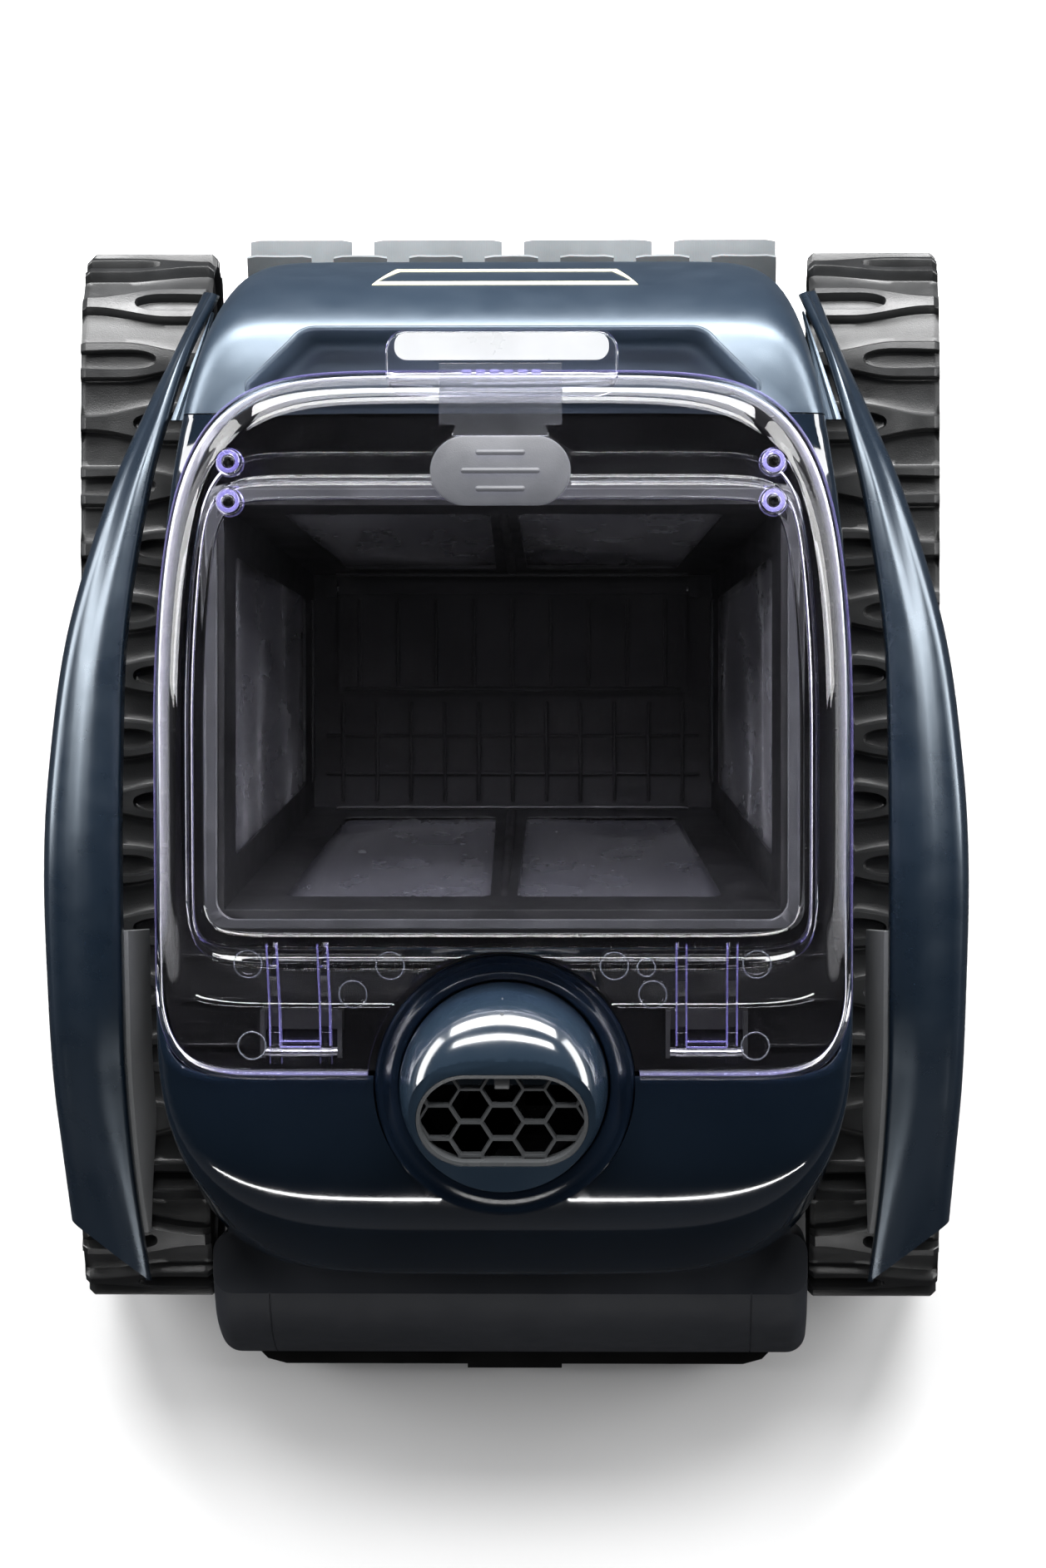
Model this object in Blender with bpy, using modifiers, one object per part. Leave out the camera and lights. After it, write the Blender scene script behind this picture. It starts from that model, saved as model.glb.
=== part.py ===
"""A cordless tracked pool cleaner, as separate named sub-parts.

Metres, +Z up, +Y towards the brush. The origin is on the floor, under the middle of the machine.
"""

import math

import bmesh
import bpy
from mathutils import Matrix, Vector

# Clearance between pieces that touch, and the usual wall of a moulded cover
GAP = 0.0003
WALL = 0.0025

# Tracks and wheels
TRACK_INNER_X = 0.139
TRACK_OUTER_X = 0.199
TRACK_RADIUS = 0.057
BELT_THICKNESS = 0.0065
FRONT_AXLE_Y = 0.204
REAR_AXLE_Y = -0.173
AXLE_Z = TRACK_RADIUS
AXLE_RADIUS = 0.005
WHEEL_RADIUS = TRACK_RADIUS - BELT_THICKNESS - 4 * GAP
WHEEL_WIDTH = 0.054

# Lower tub, which holds the machinery between the tracks
TUB_HALF_WIDTH = 0.130
TUB_FRONT_Y = 0.174
TUB_REAR_Y = -0.197
TUB_BOTTOM_Z = 0.020
TUB_TOP_Z = 0.1185
FLANGE_THICKNESS = 0.002
SPONSON_OUTER_X = 0.188
SPONSON_Y = (-0.117, 0.148)
SPONSON_Z = (0.0090, 0.1050)
TUB_WALL = 0.003
INTAKE_HALF_WIDTH = 0.078
INTAKE_Y = (0.058, 0.098)
INTAKE_WALL = 0.002
ARM_X = (0.1265, 0.1300)
ARM_Z = (0.034, 0.080)
PLATE_HALF_WIDTH = 0.127
PLATE_FRONT_Y = 0.168
PLATE_TAB = ((-0.0225, 0.0225), (0.0145, 0.0175))

# What the tub holds, as (low corner, high corner)
BATTERY = ((-0.095, -0.078, 0.0255), (0.095, -0.021, 0.085))
CONTROL_BOX = ((-0.045, -0.1925, 0.0255), (0.045, -0.1560, 0.090))
GEARBOX_INNER_X = 0.101
GEARBOX_Y = (-0.1930, -0.1520)
GEARBOX_Z = (0.034, 0.082)
DRIVE_MOTOR_X = 0.076
DRIVE_MOTOR_RADIUS = 0.018
DRIVE_MOTOR_LENGTH = 0.0494
BEARING_RADIUS = 0.0100
BEARING_LENGTH = 0.044

# Upper hull: how its outline narrows towards the front, and its levels from the bottom edge up. A
# level is (height at y = 0, slope along y, front y, rear y, half width, how square the rear is).
HULL_TAPER = 0.63
HULL_TAPER_FROM_Y = 0.03
HULL_MIDDLE_Y = 0.02
HULL_FRONT_POWER = 14
HULL_LEVELS = (
    (0.1190, 0.000, 0.2500, -0.2110, 0.1560, 5),
    (0.1260, 0.000, 0.2515, -0.2150, 0.1575, 5),
    (0.1480, 0.020, 0.2470, -0.2100, 0.1585, 5),
    (0.1780, 0.045, 0.2360, -0.1930, 0.1580, 6),
    (0.1990, 0.072, 0.2190, -0.1660, 0.1570, 9),
)
RIM_Z = 0.2098
RIM_SLOPE = 0.080
RIM_FRONT_Y = 0.1950
RIM_REAR_Y = -0.1236
RIM_HALF_WIDTH = 0.1562
RIM_POWERS = (6, 16)
HOOD_SPLIT_Y = 0.176

# Deck under the lid, and the filter basket that drops through it
DECK_TOP_Z = 0.187
DECK_THICKNESS = 0.0022
BASKET_TOP_Z = 0.229
BASKET_FLOOR_Z = 0.052
BASKET_TOP = (-0.128, 0.128, -0.050, 0.139)
BASKET_FLOOR = (-0.095, 0.095, 0.000, 0.111)
BASKET_WALL = 0.003
# Windows in the basket's walls: wall (rear, right, front, left), and from where to where across it
BASKET_WINDOWS = (
    (0, 0.09, 0.475),
    (0, 0.525, 0.91),
    (2, 0.09, 0.475),
    (2, 0.525, 0.91),
    (1, 0.11, 0.89),
    (3, 0.11, 0.89),
)
FLAP_PIN = (INTAKE_Y[1] + 0.0055, BASKET_FLOOR_Z + 0.0040)
FLAP_PIN_RADIUS = 0.0015

# Lid
LID_HINGE_Y = -0.1085
LID_HINGE_Z = 0.2030
LID_REAR_Y = -0.1215
LID_FRONT_Y = 0.1945
LID_WALL = 0.0028
LID_TAPER_TO_Y = -0.080
LID_REAR_TAPER = 6.0
# The lid's levels from its edge up to the window: front y, rear y, half width, rise over the rim at
# the rear and ahead of it, and how square the front and rear corners are
LID_RINGS = (
    (LID_FRONT_Y, LID_REAR_Y, 0.1562, 0.0000, 0.0000, 6, 16),
    (LID_FRONT_Y, LID_REAR_Y, 0.1560, 0.0045, 0.0080, 6, 16),
    (LID_FRONT_Y - 0.003, LID_REAR_Y + 0.004, 0.1540, 0.0085, 0.0200, 6, 16),
    (LID_FRONT_Y - 0.012, LID_REAR_Y + 0.030, 0.1470, 0.0130, 0.0295, 6, 16),
    (0.1640, -0.0720, 0.1390, 0.0230, 0.0335, 10, 10),
    (0.1420, -0.0600, 0.1360, 0.0330, 0.0345, 16, 16),
)
LID_TAB_HALF_WIDTH = 0.0515
LID_TAB_FRONT_Y = 0.2120
LATCH_Z = 0.2573
LATCH_PAD_Y = 0.1487
LATCH_PAD_HALF = (0.0309, 0.0153)
LATCH_RIBS = ((0.0080, 0.0110), (0.0, 0.0175), (-0.0080, 0.0110))
STRAP_HALF_WIDTH = 0.0270
STRAP_Y = (0.1644, 0.1960)
PLATE_OUTLINE = (-0.0470, 0.0470, 0.1985, 0.2105)
BRACKET_X = (0.0745, 0.1072)
BRACKET_FOOT_Y = (-0.0990, -0.0900)
HINGE_RIBS_X = ((0.0770, 0.0825), (0.0995, 0.1047))
PIN_RADIUS = 0.002
LID_SCREWS = ((-0.120, 0.1530), (-0.120, 0.1355), (0.120, 0.1530), (0.120, 0.1355))
BOSS_TOP_Z = 0.2575

# Outlet nozzle and pump, all on one upright axis
NOZZLE_Y = -0.1245
NOZZLE_RADIUS = 0.0467
NOZZLE_BASE_Z = 0.1890
NOZZLE_SHOULDER_Z = 0.1970
NOZZLE_TOP_Z = 0.2440
OUTLET_TILT = math.radians(22.6)
OUTLET_HALF_WIDTH = 0.0385
OUTLET_HALF_HEIGHT = 0.0225
OUTLET_CENTRE = (NOZZLE_Y - 0.0140, 0.2325)
SEAT_INNER = 0.0475
SEAT_OUTER = 0.0586
DUCT_INNER = 0.0405
DUCT_OUTER = 0.0430
DUCT_LOW_Z = 0.1190
CELL_PITCH = 0.0165
PUMP_RADIUS = 0.026
PUMP_LENGTH = 0.066
PUMP_Z = 0.0575
PROPELLER_Z = 0.1450
BLADE = ((0.0080, -0.0130, -0.0009), (0.0385, 0.0130, 0.0009))
BLADE_PITCH = math.radians(28)

# Brush
BRUSH_Y = 0.223
BRUSH_Z = 0.050
BRUSH_RADIUS = 0.045
BRUSH_HALF_LENGTH = 0.124
BRUSH_FINS = 10
BRUSH_HUB_RADIUS = 0.017
BRUSH_FIN_HALF = 0.0011
BRUSH_SHAFT_RADIUS = 0.0060
BRUSH_PIN_RADIUS = 0.0040

# Fender: stations along one side as (inner y, inner x, outer y, outer x, crown height, inner wall)
FENDER_STATIONS = (
    (0.2360, 0.1330, 0.2390, 0.1420, 0.1300, 0.008),
    (0.2060, 0.1420, 0.2090, 0.1520, 0.1620, 0.010),
    (0.1770, 0.1490, 0.1790, 0.1650, 0.1790, 0.012),
    (0.1390, 0.1600, 0.1390, 0.1820, 0.1900, 0.013),
    (0.0790, 0.1700, 0.0790, 0.1990, 0.1970, 0.014),
    (0.0200, 0.1720, 0.0200, 0.2070, 0.1985, 0.014),
    (-0.0290, 0.1725, -0.0290, 0.2100, 0.1960, 0.014),
    (-0.0860, 0.1725, -0.0860, 0.2090, 0.1840, 0.014),
    (-0.1250, 0.1725, -0.1250, 0.2080, 0.1680, 0.013),
    (-0.1720, 0.1700, -0.1580, 0.2060, 0.1470, 0.011),
    (-0.2190, 0.1650, -0.1910, 0.2040, 0.1230, 0.008),
)
FENDER_SKIRT = 0.026
FENDER_DROP = 0.007
FENDER_STEPS = 20
STRUT_FOOT_Z = 0.1165

TAIL_HALF_WIDTH = 0.1382
TAIL_REAR_Y = -0.2600
LIP_REAR_Y = -0.2660
TAB_REAR_Y = -0.2680
PLATE_BOTTOM_Z = 0.0140
PLATE_THICKNESS = 0.0040


# ---------------------------------------------------------------- scene and materials


def clear_scene():
    for obj in list(bpy.data.objects):
        bpy.data.objects.remove(obj, do_unlink=True)


def new_collection(name):
    made = bpy.data.collections.new(name)
    bpy.context.scene.collection.children.link(made)
    return made


def make_material(name, colour, roughness, metallic=0.0, alpha=1.0):
    material = bpy.data.materials.new(name)
    material.use_nodes = True
    shader = material.node_tree.nodes["Principled BSDF"]
    shader.inputs["Base Color"].default_value = (*colour, 1.0)
    shader.inputs["Roughness"].default_value = roughness
    shader.inputs["Metallic"].default_value = metallic
    shader.inputs["Alpha"].default_value = alpha
    material.diffuse_color = (*colour, alpha)
    return material


clear_scene()
PARTS = new_collection("pool_cleaner")
CUTTERS = new_collection("cutters")

NAVY_GLOSS = make_material("navy_gloss", (0.012, 0.020, 0.034), 0.12)
NAVY_SATIN = make_material("navy_satin", (0.020, 0.038, 0.062), 0.35)
NAVY_MATTE = make_material("navy_matte", (0.022, 0.026, 0.033), 0.60)
BLACK_PLASTIC = make_material("black_plastic", (0.010, 0.010, 0.011), 0.45)
CLEAR_PLASTIC = make_material("clear_plastic", (0.80, 0.80, 0.92), 0.05, alpha=0.35)
FROSTED_PLASTIC = make_material("frosted_plastic", (0.55, 0.55, 0.57), 0.45, alpha=0.8)
WHITE_PLASTIC = make_material("white_plastic", (0.75, 0.76, 0.78), 0.35)
GREY_PLASTIC = make_material("grey_plastic", (0.30, 0.31, 0.32), 0.50)
RUBBER = make_material("rubber", (0.020, 0.020, 0.021), 0.60)
PVC_GREY = make_material("pvc_grey", (0.55, 0.57, 0.58), 0.50)
MESH_CLOTH = make_material("mesh_cloth", (0.035, 0.034, 0.036), 0.55)
STEEL = make_material("steel", (0.60, 0.60, 0.60), 0.25, metallic=1.0)
CELL_WRAP = make_material("cell_wrap", (0.03, 0.09, 0.15), 0.50)


# ---------------------------------------------------------------- modelling helpers


def add_object(name, bm, material, smooth_angle=35.0):
    """Links a bmesh as a part, shaded smooth except over sharp edges."""
    mesh = bpy.data.meshes.new(name)
    bmesh.ops.recalc_face_normals(bm, faces=bm.faces)
    bm.to_mesh(mesh)
    bm.free()
    mesh.shade_smooth()
    mesh.set_sharp_from_angle(angle=math.radians(smooth_angle))
    mesh.materials.append(material)
    obj = bpy.data.objects.new(name, mesh)
    PARTS.objects.link(obj)
    return obj


def as_cutter(obj):
    PARTS.objects.unlink(obj)
    CUTTERS.objects.link(obj)
    obj.hide_render = True
    obj.display_type = "WIRE"
    return obj


def boolean(obj, other, operation):
    modifier = obj.modifiers.new(operation.lower(), "BOOLEAN")
    modifier.operation = operation
    modifier.object = as_cutter(other) if other.name not in CUTTERS.objects else other
    return obj


def cut(obj, *cutters):
    for cutter in cutters:
        boolean(obj, cutter, "DIFFERENCE")
    return obj


def join(obj, *others):
    for other in others:
        boolean(obj, other, "UNION")
    return obj


def bevel(obj, width, segments=1):
    modifier = obj.modifiers.new("bevel", "BEVEL")
    modifier.width = width
    modifier.segments = segments
    modifier.limit_method = "ANGLE"
    modifier.angle_limit = math.radians(40)
    return obj


def solidify(obj, thickness, offset=-1.0):
    modifier = obj.modifiers.new("wall", "SOLIDIFY")
    modifier.thickness = thickness
    modifier.offset = offset
    modifier.use_even_offset = True
    return obj


def box_mesh(low, high):
    bm = bmesh.new()
    bmesh.ops.create_cube(bm, size=1.0)
    size = Vector(high) - Vector(low)
    centre = (Vector(high) + Vector(low)) / 2
    bmesh.ops.scale(bm, vec=size, verts=bm.verts)
    bmesh.ops.translate(bm, vec=centre, verts=bm.verts)
    return bm


def block(name, low, high, material=BLACK_PLASTIC, edge=0.0):
    obj = add_object(name, box_mesh(low, high), material)
    return bevel(obj, edge) if edge else obj


def placed_on(axis, centre):
    """The matrix that lays an upright shape along an axis, with its middle at a point."""
    turn = Vector((0, 0, 1)).rotation_difference(Vector(axis)).to_matrix().to_4x4()
    return Matrix.Translation(centre) @ turn


def cylinder(name, radius, length, centre, axis=(0, 0, 1), material=BLACK_PLASTIC, sides=24, edge=0.0):
    bm = bmesh.new()
    bmesh.ops.create_cone(
        bm, cap_ends=True, segments=sides, radius1=radius, radius2=radius, depth=length
    )
    obj = add_object(name, bm, material)
    obj.matrix_world = placed_on(axis, centre)
    return bevel(obj, edge) if edge else obj


def turned(name, profile, centre, axis=(0, 0, 1), material=BLACK_PLASTIC, steps=24):
    """A profile of (radius, height) points, closed into a loop and turned about an axis."""
    bm = bmesh.new()
    verts = [bm.verts.new((radius, 0, height)) for radius, height in profile]
    for first, second in zip(verts, verts[1:] + verts[:1]):
        bm.edges.new((first, second))
    mesh = bpy.data.meshes.new(name)
    bm.to_mesh(mesh)
    bm.free()
    mesh.materials.append(material)
    obj = bpy.data.objects.new(name, mesh)
    PARTS.objects.link(obj)
    obj.matrix_world = placed_on(axis, centre)
    screw = obj.modifiers.new("turn", "SCREW")
    screw.steps = steps
    screw.render_steps = steps
    screw.use_merge_vertices = True
    screw.merge_threshold = 0.00005
    screw.use_smooth_shade = True
    return obj


def sleeve(name, inner, outer, length, centre, axis=(0, 0, 1), material=BLACK_PLASTIC, steps=24):
    half = length / 2
    profile = [(outer, half), (outer, -half), (inner, -half), (inner, half)]
    return turned(name, profile, centre, axis, material, steps)


def bridge_rings(bm, rings, cap_first=False, cap_last=False, closed=False):
    """Joins rings of equally many points with quads, and closes the ends where asked."""
    made = [[bm.verts.new(point) for point in ring] for ring in rings]
    pairs = list(zip(made, made[1:]))
    if closed:
        pairs.append((made[-1], made[0]))
    for near, far in pairs:
        count = len(near)
        for i in range(count):
            after = (i + 1) % count
            bm.faces.new((near[i], near[after], far[after], far[i]))
    if cap_first:
        bm.faces.new(list(reversed(made[0])))
    if cap_last:
        bm.faces.new(made[-1])


def prism(name, outline, low, high, to_world, material):
    """An outline of (u, v) points extruded from low to high along the third direction."""
    bm = bmesh.new()
    rings = [[to_world(u, v, w) for u, v in outline] for w in (low, high)]
    bridge_rings(bm, rings, cap_first=True, cap_last=True)
    return add_object(name, bm, material)


def upright(u, v, w):
    return (u, v, w)


def sideways(u, v, w):
    return (w, u, v)


def arc(centre, radius, start, end, steps):
    points = []
    for i in range(steps + 1):
        angle = math.radians(start + (end - start) * i / steps)
        points.append((centre[0] + radius * math.cos(angle), centre[1] + radius * math.sin(angle)))
    return points


def rounded_rectangle(left, right, bottom, top, radius, steps=3):
    return (
        arc((right - radius, bottom + radius), radius, -90, 0, steps)
        + arc((right - radius, top - radius), radius, 0, 90, steps)
        + arc((left + radius, top - radius), radius, 90, 180, steps)
        + arc((left + radius, bottom + radius), radius, 180, 270, steps)
    )


def stadium(half_width, half_height, steps=8):
    straight = half_width - half_height
    right = arc((straight, 0), half_height, -90, 90, steps)
    left = arc((-straight, 0), half_height, 90, 270, steps)
    return right + left


def signed_power(value, power):
    return math.copysign(abs(value) ** power, value)


def hull_outline(front_y, rear_y, half_width, front_power, rear_power, count=48, rear_taper=0.0):
    """A plan outline with bowed ends, straight-ish sides and a narrowing front."""
    points = []
    for i in range(count):
        angle = 2 * math.pi * i / count
        across = math.cos(angle)
        along = math.sin(angle)
        power = 2 / (front_power if along > 0 else rear_power)
        reach = front_y - HULL_MIDDLE_Y if along > 0 else HULL_MIDDLE_Y - rear_y
        y = HULL_MIDDLE_Y + reach * signed_power(along, power)
        narrowing = HULL_TAPER * max(0.0, y - HULL_TAPER_FROM_Y) ** 2
        narrowing += rear_taper * max(0.0, LID_TAPER_TO_Y - y) ** 2
        points.append(((half_width - narrowing) * signed_power(across, power), y))
    return points


def hull_ring(height, slope, front_y, rear_y, half_width, front_power, rear_power):
    outline = hull_outline(front_y, rear_y, half_width, front_power, rear_power)
    return [(x, y, height + slope * y) for x, y in outline]


def on_curve(p, q, r, s, t):
    """A value between q and r on the smooth curve through p, q, r and s."""
    square = 2 * p - 5 * q + 4 * r - s
    cube = 3 * q - p - 3 * r + s
    return 0.5 * (2 * q + (r - p) * t + square * t**2 + cube * t**3)


def spline(rows, steps):
    """Rows of numbers resampled along a smooth curve through all of them."""
    last = len(rows) - 1
    made = []
    for i in range(steps + 1):
        place = last * i / steps
        k = min(int(place), last - 1)
        t = place - k
        before, after = rows[max(k - 1, 0)], rows[min(k + 2, last)]
        made.append(tuple(on_curve(*values, t) for values in zip(before, rows[k], rows[k + 1], after)))
    return made


def for_each_side(build):
    build("left", -1)
    build("right", 1)


# ---------------------------------------------------------------- hull


def hull_level(level, inset=0.0, drop=0.0):
    height, slope, front_y, rear_y, half_width, rear_power = level
    width = half_width - inset
    powers = (HULL_FRONT_POWER, rear_power)
    return hull_ring(height - drop, slope, front_y - inset, rear_y + inset, width, *powers)


def rim_level(inset=0.0, drop=0.0):
    """The rim under the lid's edge. At the rear it barely moves in, clear of the lid's swing."""
    width = RIM_HALF_WIDTH - inset
    rear_y = RIM_REAR_Y + inset / 5
    return hull_ring(RIM_Z - drop, RIM_SLOPE, RIM_FRONT_Y - inset, rear_y, width, *RIM_POWERS)


def hull_surface(name, material):
    """The upper hull's skin, open below and over the deck, with a rim turned in at its top."""
    rings = [hull_level(level) for level in HULL_LEVELS]
    rings += [rim_level(), rim_level(0.0035), rim_level(0.0035, 0.0035)]
    insets = ((WALL, 0.0), (WALL, 0.0), (WALL, 0.0004), (0.0022, 0.0012), (0.0016, 0.0022))
    for level, (inset, drop) in reversed(list(zip(HULL_LEVELS, insets))):
        rings.append(hull_level(level, inset, drop))
    bm = bmesh.new()
    bridge_rings(bm, rings, closed=True)
    return add_object(name, bm, material)


def split_box(name, front):
    reach = 0.4
    edge = HOOD_SPLIT_Y - GAP / 2 if front else HOOD_SPLIT_Y + GAP / 2
    low_y, high_y = (-reach, edge + GAP) if front else (edge - GAP, reach)
    return block(name, (-reach, low_y, 0), (reach, high_y, reach))


def recess_outline(grow=0.0):
    front, rear = 0.2150 + grow, 0.1900 - grow
    return [
        (-0.1130 - grow, rear),
        (0.1130 + grow, rear),
        (0.0940 + grow, front - 0.004),
        (0.0880, front),
        (-0.0880, front),
        (-0.0940 - grow, front - 0.004),
    ]


def build_hull():
    hood = hull_surface("front_hood", NAVY_SATIN)
    cut(hood, split_box("cut_hood_split", True))
    cut(hood, prism("cut_hood_recess", recess_outline(), 0.190, 0.26, upright, BLACK_PLASTIC))

    shell = hull_surface("rear_hull", NAVY_GLOSS)
    cut(shell, split_box("cut_hull_split", False))
    cut(shell, cylinder("cut_hull_nozzle", SEAT_OUTER + GAP, 0.10, (0, NOZZLE_Y, 0.22), sides=40))

    outline = recess_outline(-0.0006)
    floor_z, wall = 0.1960, 0.0015
    insert = prism("recess_insert", outline, floor_z, 0.2165, upright, BLACK_PLASTIC)
    hollow = [(x * 0.975, y + (wall if y < 0.2 else -wall)) for x, y in outline]
    cut(insert, prism("cut_recess_hollow", hollow, floor_z + 0.002, 0.25, upright, BLACK_PLASTIC))


def build_deck():
    inset = 0.0062
    outline = hull_outline(RIM_FRONT_Y - inset, RIM_REAR_Y + inset, RIM_HALF_WIDTH - inset, *RIM_POWERS)
    deck = prism("deck_tray", outline, DECK_TOP_Z - DECK_THICKNESS, DECK_TOP_Z, upright, BLACK_PLASTIC)
    left, right, rear, front = BASKET_TOP
    clear = 0.0012
    hole = rounded_rectangle(left - clear, right + clear, rear - clear, front + clear, 0.010)
    cut(deck, prism("cut_deck_basket", hole, 0.17, 0.20, upright, BLACK_PLASTIC))
    cut(deck, cylinder("cut_deck_nozzle", SEAT_OUTER + GAP, 0.04, (0, NOZZLE_Y, DECK_TOP_Z), sides=40))


def build_tub():
    wall = TUB_WALL
    low = (-TUB_HALF_WIDTH, TUB_REAR_Y, TUB_BOTTOM_Z)
    high = (TUB_HALF_WIDTH, TUB_FRONT_Y, TUB_TOP_Z - 0.0005)
    tub = block("lower_tub", low, high, NAVY_MATTE)
    flange = hull_outline(0.2455, -0.2060, 0.1520, HULL_FRONT_POWER, 5, 32)
    bottom = TUB_TOP_Z - FLANGE_THICKNESS
    join(tub, prism("join_tub_flange", flange, bottom, TUB_TOP_Z, upright, NAVY_MATTE))
    for label, side in (("left", -1), ("right", 1)):
        near, far = sorted((side * (TUB_HALF_WIDTH - 0.002), side * SPONSON_OUTER_X))
        rear_y, front_y = SPONSON_Y
        join(tub, block(f"join_sponson_{label}", (near, rear_y, SPONSON_Z[0]), (far, front_y, SPONSON_Z[1])))
    inside_low = tuple(value + wall for value in low)
    inside_high = (high[0] - wall, high[1] - wall, 0.2)
    cut(tub, block("cut_tub_inside", inside_low, inside_high))
    hollow_x = SPONSON_OUTER_X - wall
    hollow_low = (-hollow_x, SPONSON_Y[0] + wall, TUB_BOTTOM_Z + wall)
    hollow_high = (hollow_x, SPONSON_Y[1] - wall, SPONSON_Z[1] - wall)
    cut(tub, block("cut_tub_sponsons", hollow_low, hollow_high))
    mouth_low = (-INTAKE_HALF_WIDTH, INTAKE_Y[0], 0.0)
    mouth_high = (INTAKE_HALF_WIDTH, INTAKE_Y[1], 0.04)
    cut(tub, block("cut_tub_intake", mouth_low, mouth_high))
    for side in (-1, 1):
        centre = (side * TUB_HALF_WIDTH, REAR_AXLE_Y, AXLE_Z)
        cut(tub, cylinder(f"cut_tub_shaft_{side}", AXLE_RADIUS + GAP, 0.02, centre, (1, 0, 0)))

    for label, side in (("left", -1), ("right", 1)):
        near, far = sorted((side * ARM_X[0], side * ARM_X[1]))
        arm_low = (near, TUB_FRONT_Y - 0.004, ARM_Z[0])
        arm_high = (far, BRUSH_Y + 0.012, ARM_Z[1])
        join(tub, block(f"join_arm_{label}", arm_low, arm_high))
        bearing = (side * 0.129, BRUSH_Y, BRUSH_Z)
        cut(tub, cylinder(f"cut_arm_{label}", BRUSH_PIN_RADIUS + GAP, 0.02, bearing, (1, 0, 0), sides=16))

    plate = prism(
        "base_plate",
        rounded_rectangle(-PLATE_HALF_WIDTH, PLATE_HALF_WIDTH, LIP_REAR_Y, PLATE_FRONT_Y, 0.018),
        PLATE_BOTTOM_Z,
        PLATE_BOTTOM_Z + PLATE_THICKNESS,
        upright,
        BLACK_PLASTIC,
    )
    tab_x, tab_z = PLATE_TAB
    tab_low = (tab_x[0], TAB_REAR_Y, tab_z[0])
    tab_high = (tab_x[1], LIP_REAR_Y + 0.01, tab_z[1])
    join(plate, block("join_plate_tab", tab_low, tab_high))
    cut(plate, block("cut_plate_intake", mouth_low, mouth_high))


def build_intake():
    """The short duct from the intake slot up to the basket's floor."""
    wall = INTAKE_WALL
    low = (-INTAKE_HALF_WIDTH, INTAKE_Y[0], TUB_BOTTOM_Z + TUB_WALL + GAP)
    high = (INTAKE_HALF_WIDTH, INTAKE_Y[1], BASKET_FLOOR_Z - 0.003 - GAP)
    outer_low = (low[0] - wall, low[1] - wall, low[2])
    outer_high = (high[0] + wall, high[1] + wall, high[2])
    duct = block("intake_duct", outer_low, outer_high)
    cut(duct, block("cut_duct_inside", (low[0], low[1], 0.0), (high[0], high[1], 0.1)))


def build_tail():
    """The blunt stern under the rear hull: each ring is one height, wider and longer at the foot."""
    rings = []
    levels = ((0.0185, TAIL_REAR_Y), (0.045, TAIL_REAR_Y + 0.003), (0.080, -0.245), (0.100, -0.226))
    for height, rear_y in levels:
        outline = rounded_rectangle(-TAIL_HALF_WIDTH, TAIL_HALF_WIDTH, rear_y, TUB_REAR_Y - GAP, 0.004)
        rings.append([(x, y, height) for x, y in outline])
    bm = bmesh.new()
    bridge_rings(bm, rings, cap_first=True, cap_last=True)
    tail = add_object("tail_bumper", bm, NAVY_MATTE)
    inside = block("cut_tail_inside", (-0.1355, -0.2420, 0.0), (0.1355, -0.2003, 0.086))
    cut(tail, inside)


# ---------------------------------------------------------------- fenders


def fender_section(side, inner_y, inner_x, outer_y, outer_x, crown, inner_wall):
    """Five points across the fender: inner wall, crown and outer skirt."""
    middle_x = (inner_x + outer_x) / 2
    middle_y = (inner_y + outer_y) / 2
    return [
        (side * (inner_x + 0.0005), inner_y, crown - inner_wall),
        (side * (inner_x + 0.0012), inner_y, crown - 0.001),
        (side * middle_x, middle_y, crown),
        (side * (outer_x - 0.0045), outer_y, crown - FENDER_DROP),
        (side * outer_x, outer_y, crown - FENDER_SKIRT),
    ]


def build_fender(label, side):
    rows = spline(FENDER_STATIONS, FENDER_STEPS)
    sections = [fender_section(side, *row) for row in rows]
    bm = bmesh.new()
    made = [[bm.verts.new(point) for point in section] for section in sections]
    for near, far in zip(made, made[1:]):
        for i in range(len(near) - 1):
            face = (near[i], near[i + 1], far[i + 1], far[i])
            bm.faces.new(face if side > 0 else tuple(reversed(face)))
    mesh = bpy.data.meshes.new(f"{label}_fender")
    bm.normal_update()
    up = sum(face.normal.z for face in bm.faces)
    if up < 0:
        bmesh.ops.reverse_faces(bm, faces=bm.faces)
    bm.to_mesh(mesh)
    bm.free()
    mesh.shade_smooth()
    mesh.materials.append(NAVY_SATIN)
    fender = bpy.data.objects.new(f"{label}_fender", mesh)
    PARTS.objects.link(fender)
    solidify(fender, 0.0022)


def build_strut(label, side):
    """The panel under the rear of the fender's inner edge, leaning in to the chassis as it goes down."""
    rows = [row for row in spline(FENDER_STATIONS, 20) if -0.198 < row[0] < -0.05]
    rings = []
    for inner_y, inner_x, _, _, crown, inner_wall in rows:
        top = crown - inner_wall - 0.0010
        foot = max(STRUT_FOOT_Z, top - 0.030)
        lean = 0.30 * (top - foot)
        rings.append(
            [
                (side * (inner_x + 0.0025), inner_y, top),
                (side * (inner_x + 0.0002), inner_y, top),
                (side * (inner_x + 0.0002 - lean), inner_y, foot),
                (side * (inner_x + 0.0025 - lean), inner_y, foot),
            ]
        )
    bm = bmesh.new()
    bridge_rings(bm, rings, cap_first=True, cap_last=True)
    add_object(f"{label}_fender_strut", bm, GREY_PLASTIC)


# ---------------------------------------------------------------- running gear


def belt_loop(radius, steps=12):
    rear = arc((REAR_AXLE_Y, AXLE_Z), radius, 90, 270, steps)
    front = arc((FRONT_AXLE_Y, AXLE_Z), radius, -90, 90, steps)
    return rear + front


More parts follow.
